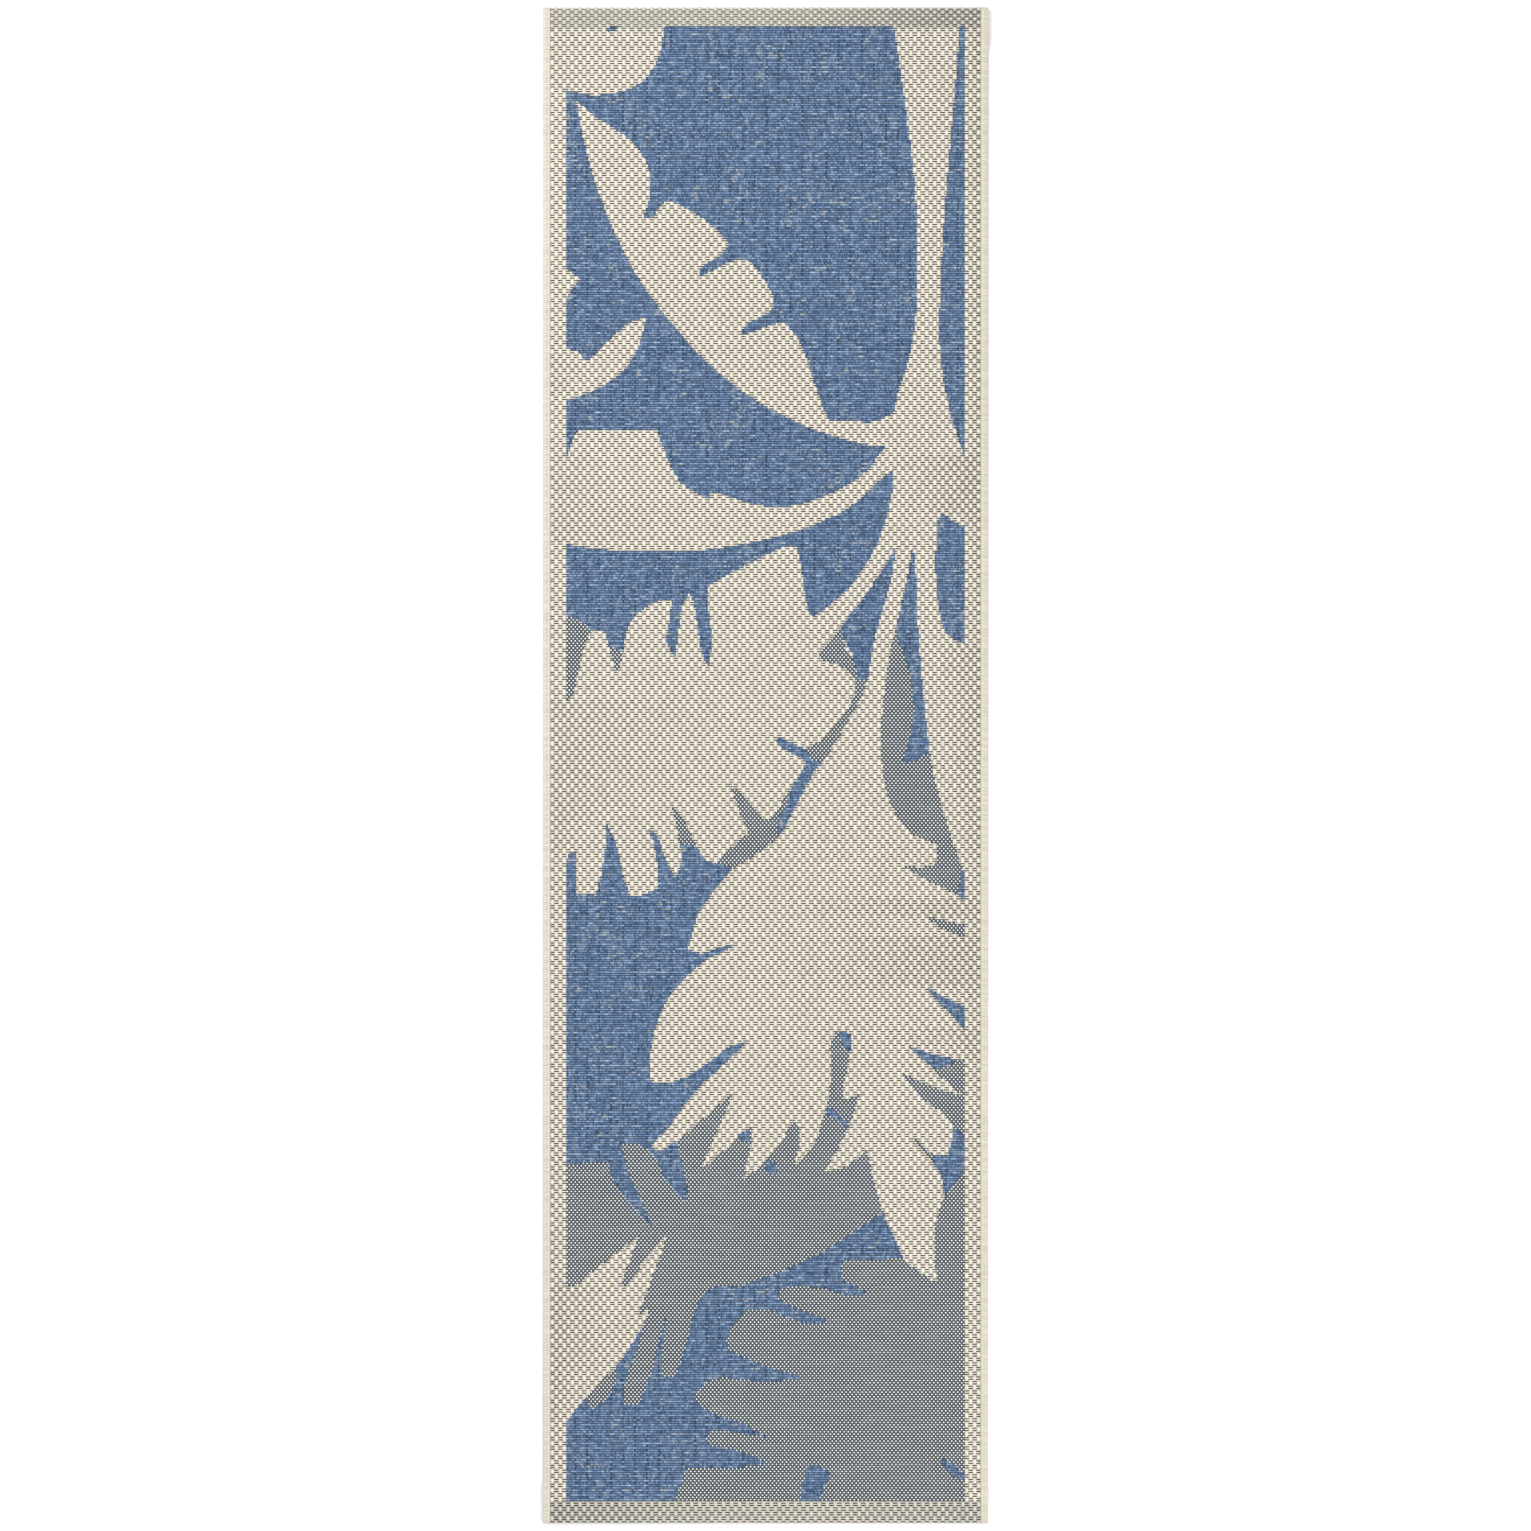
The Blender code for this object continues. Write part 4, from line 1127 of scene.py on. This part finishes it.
def serge_edge(weave, yarn, name, side, material):
    """The wraps of one long edge, evenly spaced round the cloth's whole length."""
    low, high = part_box("right_serging")
    middle_x, half_band = (low.x + high.x) / 2, (high.x - low.x) / 2
    under = weave.path.half_thick + WRAP_DROP
    over = weave.path.half_thick + yarn.wrap_relief
    points, faces = model_wrap(half_band, (over + under) / 2 - yarn.wrap_relief,
                               yarn.wrap_pitch * SERGING_SHARE, yarn.wrap_relief)
    count = int(2 * weave.path.reach / yarn.wrap_pitch)
    along_middle = (np.arange(count) + 0.5) / count * 2 * weave.path.reach - weave.path.reach
    lift = points[:, 2] + (over - under) / 2
    lean = math.tan(yarn.wrap_slant) * points[:, 0] * points[:, 2] / points[:, 2].max()
    along = along_middle[:, None] + points[None, :, 1] + lean[None, :]
    x = np.broadcast_to(side * (middle_x + points[:, 0])[None, :], along.shape)
    placed = weave.path.place(x, along, np.broadcast_to(lift[None, :], along.shape))
    if side < 0:
        faces = [face[::-1] for face in faces]
    return lay_wraps(name, (points, faces), placed, along / yarn.wrap_pitch, material)


def overlock_edge(weave, yarn, name, end, material):
    """The loops over one hem's raw edge, side by side across the rug."""
    low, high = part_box("head_overlock")
    half_band = (high.y - low.y) / 2
    middle_along = weave.path.reach - ((low.y + high.y) / 2 - weave.path.raw_edge)
    outer = weave.path.half_thick
    points, faces = model_wrap(half_band, outer - yarn.wrap_relief,
                               yarn.overlock_pitch * OVERLOCK_SHARE, yarn.wrap_relief, corners=8)
    half_row = high.x - yarn.overlock_pitch
    count = int(2 * half_row / yarn.overlock_pitch)
    middle_x = np.linspace(-half_row, half_row, count)
    lean = math.tan(yarn.wrap_slant) * points[:, 0]
    x = middle_x[:, None] + (points[:, 1] + lean)[None, :]
    along = np.broadcast_to(end * (middle_along + points[:, 0])[None, :], x.shape)
    placed = weave.path.place(x, along, np.broadcast_to(points[None, :, 2], x.shape))
    if end > 0:
        faces = [face[::-1] for face in faces]
    return lay_wraps(name, (points, faces), placed, x / yarn.overlock_pitch, material)


def sew_label(weave, material):
    """A blank strip of satin tape from the head hem, lying along the back of the cloth."""
    low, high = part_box("care_label")
    half_thick, room_to_cloth, tape_share, second_bend = 0.2 * MM, 0.3 * MM, 0.6, 0.3
    below = weave.path.half_thick + room_to_cloth + half_thick
    radius, bend = weave.path.ramp_radius, weave.path.ramp_turn
    lengths = [high.y - weave.path.ramp_top, (radius - below) * bend,
               (radius + below) * bend * second_bend]
    headings = [math.pi, math.pi, math.pi + bend, math.pi + bend * (1 - second_bend)]
    stations, line_y, line_z, heading = trace((high.y, high.z - half_thick), lengths, headings)
    rows, columns = 24, 12
    away = np.linspace(0.0, stations[-1], rows)
    y, z = np.interp(away, stations, line_y), np.interp(away, stations, line_z)
    tilt = np.interp(away, stations, heading)
    x = np.linspace(low.x, high.x, columns)
    soft = half_thick * tape_share
    points, faces = [], []
    for side in (1, -1):
        for row in range(rows):
            for column in range(columns):
                points.append((x[column], y[row] + side * soft * math.sin(tilt[row]),
                               z[row] - side * soft * math.cos(tilt[row])))
    layer = rows * columns
    for row in range(rows - 1):
        for column in range(columns - 1):
            a = row * columns + column
            quad = (a, a + 1, a + columns + 1, a + columns)
            faces.append(quad[::-1])
            faces.append(tuple(corner + layer for corner in quad))
    rim = list(range(columns))
    rim += [row * columns + columns - 1 for row in range(1, rows)]
    rim += [(rows - 1) * columns + column for column in reversed(range(columns - 1))]
    rim += [row * columns for row in reversed(range(1, rows - 1))]
    for here, after in zip(rim, rim[1:] + rim[:1]):
        faces.append((here, after, after + layer, here + layer))
    piece = add_piece("satin_label", points, faces, [material])
    corners = corner_vertices(piece)
    coordinates = np.array(points)[corners]
    add_uv_map(piece, WEAVE_MAP, np.stack([coordinates[:, 0] / MM, coordinates[:, 1] / MM], axis=-1))
    return piece, (high.x - low.x, float(stations[-1]))


# ---------------------------------------------------------------- operators

def rug_settings():
    """The rug's settings, all four groups, under short names."""
    return bpy.context.scene.woven_rug


class RUG_OT_weave_ribs(Operator):
    """Weaves the ribs of weft that make the cloth, and hides the imported panel in its place."""

    bl_idname = "rug.weave_ribs"
    bl_label = "Weave the Ribs"

    def execute(self, context):
        rug = rug_settings()
        colours = rug.colours
        weave = Weave(rug)
        # The crest materials come first. The three valley materials after them are darker copies that paint
        # the shade between ribs, and the ivory one also shows the dark ground yarn.
        materials = [
            blue_heather(colours, "blue_heather_crest", 1.0),
            plain_yarn("ivory_polypropylene_rib", colours.ivory, colours.ivory_shade, end_shade=0.85),
            streaked_ground("charcoal_polypropylene_rib", colours, 1.0),
            blue_heather(colours, "blue_heather_valley", 0.52),
            plain_yarn("ivory_ground_valley", colours.ivory_ground_and_shade,
                       tone(colours.ivory_ground_and_shade, 0.7), end_shade=0.78),
            streaked_ground("charcoal_ground_valley", colours, 0.42),
        ]
        cloth = weave_ribs(weave, rug.yarn, materials)
        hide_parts("woven_panel")
        return {"FINISHED"}


class RUG_OT_lay_floats(Operator):
    """Lays the ivory floats of the leaves and borders, and the pale ties of the grey leaves."""

    bl_idname = "rug.lay_floats"
    bl_label = "Lay the Floats"

    def execute(self, context):
        rug = rug_settings()
        yarn, colours = rug.yarn, rug.colours
        weave = Weave(rug)
        ivory = plain_yarn("ivory_polypropylene_float", colours.ivory,
                           tone(colours.ivory, 0.82), speck=1.6, end_shade=0.83)
        pale = plain_yarn("pale_polypropylene_tie", colours.pale, tone(colours.pale, 0.88))
        middles, half_sizes, in_field = find_floats(weave, yarn)
        base = yarn.rib_thickness / 2 * FLOAT_BASE_SHARE
        near_head = middles[:, 1] > 0
        reach = half_sizes[:, 1]
        folded = weave.on_fold(middles[:, 1] - reach) | weave.on_fold(middles[:, 1] + reach)
        folded |= weave.on_fold(middles[:, 1])
        shape, bent_shape = model_float(), model_float(cuts=(-0.6, -0.3, 0.0, 0.3, 0.6))
        groups = (("border_floats", ~in_field & ~folded, shape), ("fold_floats", folded, bent_shape),
                  ("head_leaf_floats", in_field & near_head, shape),
                  ("foot_leaf_floats", in_field & ~near_head, shape))
        for name, chosen, shape in groups:
            lay_copies(weave, name, shape, middles[chosen], half_sizes[chosen], base, yarn.float_top, ivory)
        middles, half_sizes = find_ties(weave, yarn)
        shape = model_tie()
        halfway = np.median(middles[:, 1])
        for name, chosen in (("upper_grey_ties", middles[:, 1] >= halfway),
                             ("lower_grey_ties", middles[:, 1] < halfway)):
            lay_copies(weave, name, shape, middles[chosen], half_sizes[chosen], base, yarn.tie_top, pale)
        return {"FINISHED"}


class RUG_OT_serge_edges(Operator):
    """Wraps the two long edges in serging yarn, over the bands that lie under it."""

    bl_idname = "rug.serge_edges"
    bl_label = "Serge the Long Edges"

    def execute(self, context):
        rug = rug_settings()
        weave = Weave(rug)
        yarn = wrap_yarn("serging_filament", rug.colours.serging)
        # The band under the wraps is the serging colour darkened: painted shade between the wraps.
        shaded_under_yarn = twisted_yarn("serging_underlay", tone(rug.colours.serging, 0.8), 2.0)
        for side, name in ((-1, "left"), (1, "right")):
            serge_edge(weave, rug.yarn, f"{name}_serging_wraps", side, yarn)
            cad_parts[f"{name}_serging"].material_slots[0].material = shaded_under_yarn
        return {"FINISHED"}


class RUG_OT_overlock_hems(Operator):
    """Loops yarn over the raw edges of the two hems."""

    bl_idname = "rug.overlock_hems"
    bl_label = "Overlock the Hems"

    def execute(self, context):
        rug = rug_settings()
        weave = Weave(rug)
        yarn = wrap_yarn("overlock_filament", tone(rug.colours.serging, 0.94))
        # The band under the loops is darkened in the same way: painted shade between the loops.
        shaded_under_yarn = twisted_yarn("overlock_underlay", tone(rug.colours.serging, 0.75), 1.5)
        for end, name in ((1, "head"), (-1, "foot")):
            overlock_edge(weave, rug.yarn, f"{name}_overlock_loops", end, yarn)
            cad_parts[f"{name}_overlock"].material_slots[0].material = shaded_under_yarn
        return {"FINISHED"}


class RUG_OT_stitch_hems(Operator):
    """Gives the two rows of blind stitch their twisted thread."""

    bl_idname = "rug.stitch_hems"
    bl_label = "Stitch the Hems"

    def execute(self, context):
        thread = twisted_yarn("spun_polyester_thread", rug_settings().colours.thread, 0.5)
        for name in ("head_hem_stitching", "foot_hem_stitching"):
            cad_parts[name].material_slots[0].material = thread
        return {"FINISHED"}


class RUG_OT_sew_label(Operator):
    """Sews the blank satin label into the head hem."""

    bl_idname = "rug.sew_label"
    bl_label = "Sew the Label"

    def execute(self, context):
        rug = rug_settings()
        label, flat = sew_label(Weave(rug), label_satin(rug.colours.label))
        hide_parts("care_label")
        return {"FINISHED"}


class RUG_OT_declare_cloth(Operator):
    bl_idname = "rug.declare_cloth"
    bl_label = "Declare the Cloth"

    def execute(self, context):
        weave = Weave(rug_settings())
        return {"FINISHED"}


class RUG_OT_set_stage(Operator):
    """Puts the rug on a plain pale floor under even, soft light, seen from straight above."""

    bl_idname = "rug.set_stage"
    bl_label = "Set the Stage"

    def execute(self, context):
        rug = rug_settings()
        stage = rug.stage
        scene = bpy.context.scene
        scene.view_settings.view_transform = "Standard"
        self.lay_floor(stage, rug.colours.floor)
        self.light(scene, stage)
        self.place_camera(scene, stage)
        return {"FINISHED"}

    def lay_floor(self, stage, colour):
        """A matte painted floor, just under the rug, with a grain too faint to draw the eye."""
        deselect_everything()
        bpy.ops.mesh.primitive_plane_add(size=stage.floor_size, location=(0.0, 0.0, -0.6 * MM))
        floor = bpy.context.object
        floor.name = "floor"
        bpy.ops.object.transform_apply(location=True, rotation=True, scale=True)
        material, tree, shader = new_material("matte_floor_paint", 0.9, 0.1)
        spot = add_node(tree, "ShaderNodeTexCoord").outputs["Object"]
        grain = add_node(tree, "ShaderNodeTexNoise", {"Vector": spot, "Scale": 30.0, "Detail": 2.0})
        shade = add_node(tree, RAMP, (grain.outputs["Fac"],),
                         stops=((0.0, tone(colour, 0.985)), (1.0, tone(colour))))
        tree.links.new(shade.outputs[0], shader.inputs["Base Color"])
        floor.data.materials.append(material)

    def light(self, scene, stage):
        """An even sky and two large soft lamps, one on each side."""
        world = bpy.data.worlds.new("even_light")
        world.use_nodes = True
        sky = world.node_tree.nodes["Background"]
        sky.inputs["Color"].default_value = (1.0, 1.0, 1.0, 1.0)
        sky.inputs["Strength"].default_value = stage.sky_strength
        scene.world = world
        for name, place, size in (("key_light", (-2.6, 2.2, 3.4), 2.2),
                                  ("fill_light", (2.4, -2.6, 3.8), 3.0)):
            lamp = bpy.data.lights.new(name, "AREA")
            lamp.shape = "DISK"
            lamp.size = size
            lamp.energy = stage.lamp_power
            light = bpy.data.objects.new(name, lamp)
            light.location = place
            reach = math.hypot(place[0], place[1])
            light.rotation_euler = (math.atan2(reach, place[2]), 0.0,
                                    math.atan2(place[0], -place[1]))
            scene.collection.objects.link(light)

    def place_camera(self, scene, stage):
        """A camera straight above the rug's middle, as high as its frame and lens ask for."""
        lens = bpy.data.cameras.new("camera")
        lens.sensor_width = 36.0
        lens.lens = stage.focal_length
        lens.clip_end = 50.0
        camera = bpy.data.objects.new("camera", lens)
        rug_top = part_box("woven_panel")[1].z
        camera.location = (0.0, 0.0, rug_top + stage.frame_side * stage.focal_length / lens.sensor_width)
        scene.collection.objects.link(camera)
        scene.camera = camera


class RugSettings(PropertyGroup):
    """All of the rug's settings."""

    cloth: PointerProperty(type=RugClothSettings)
    yarn: PointerProperty(type=RugYarnSettings)
    colours: PointerProperty(type=RugColourSettings)
    stage: PointerProperty(type=RugStageSettings)


OPERATORS = (RUG_OT_weave_ribs, RUG_OT_lay_floats, RUG_OT_serge_edges, RUG_OT_overlock_hems,
             RUG_OT_stitch_hems, RUG_OT_sew_label, RUG_OT_declare_cloth, RUG_OT_set_stage)


class RUG_PT_making(Panel):
    """The steps that make the rug, in order, and the settings behind them."""

    bl_idname = "RUG_PT_making"
    bl_label = "Woven Rug"
    bl_space_type = "VIEW_3D"
    bl_region_type = "UI"
    bl_category = "Rug"

    def draw(self, context):
        for operator in OPERATORS:
            self.layout.operator(operator.bl_idname)
        rug = rug_settings()
        for group in (rug.cloth, rug.yarn, rug.colours, rug.stage):
            box = self.layout.box()
            for name in group.__annotations__:
                box.prop(group, name)


CLASSES = (RugClothSettings, RugYarnSettings, RugColourSettings, RugStageSettings, RugSettings,
           *OPERATORS, RUG_PT_making)


def register():
    for cls in CLASSES:
        bpy.utils.register_class(cls)
    bpy.types.Scene.woven_rug = PointerProperty(type=RugSettings)


def unregister():
    del bpy.types.Scene.woven_rug
    for cls in reversed(CLASSES):
        bpy.utils.unregister_class(cls)


def main():
    register()
    bpy.ops.rug.weave_ribs()
    bpy.ops.rug.lay_floats()
    bpy.ops.rug.serge_edges()
    bpy.ops.rug.overlock_hems()
    bpy.ops.rug.stitch_hems()
    bpy.ops.rug.sew_label()
    bpy.ops.rug.declare_cloth()
    bpy.ops.rug.set_stage()


if __name__ == "__main__":
    main()
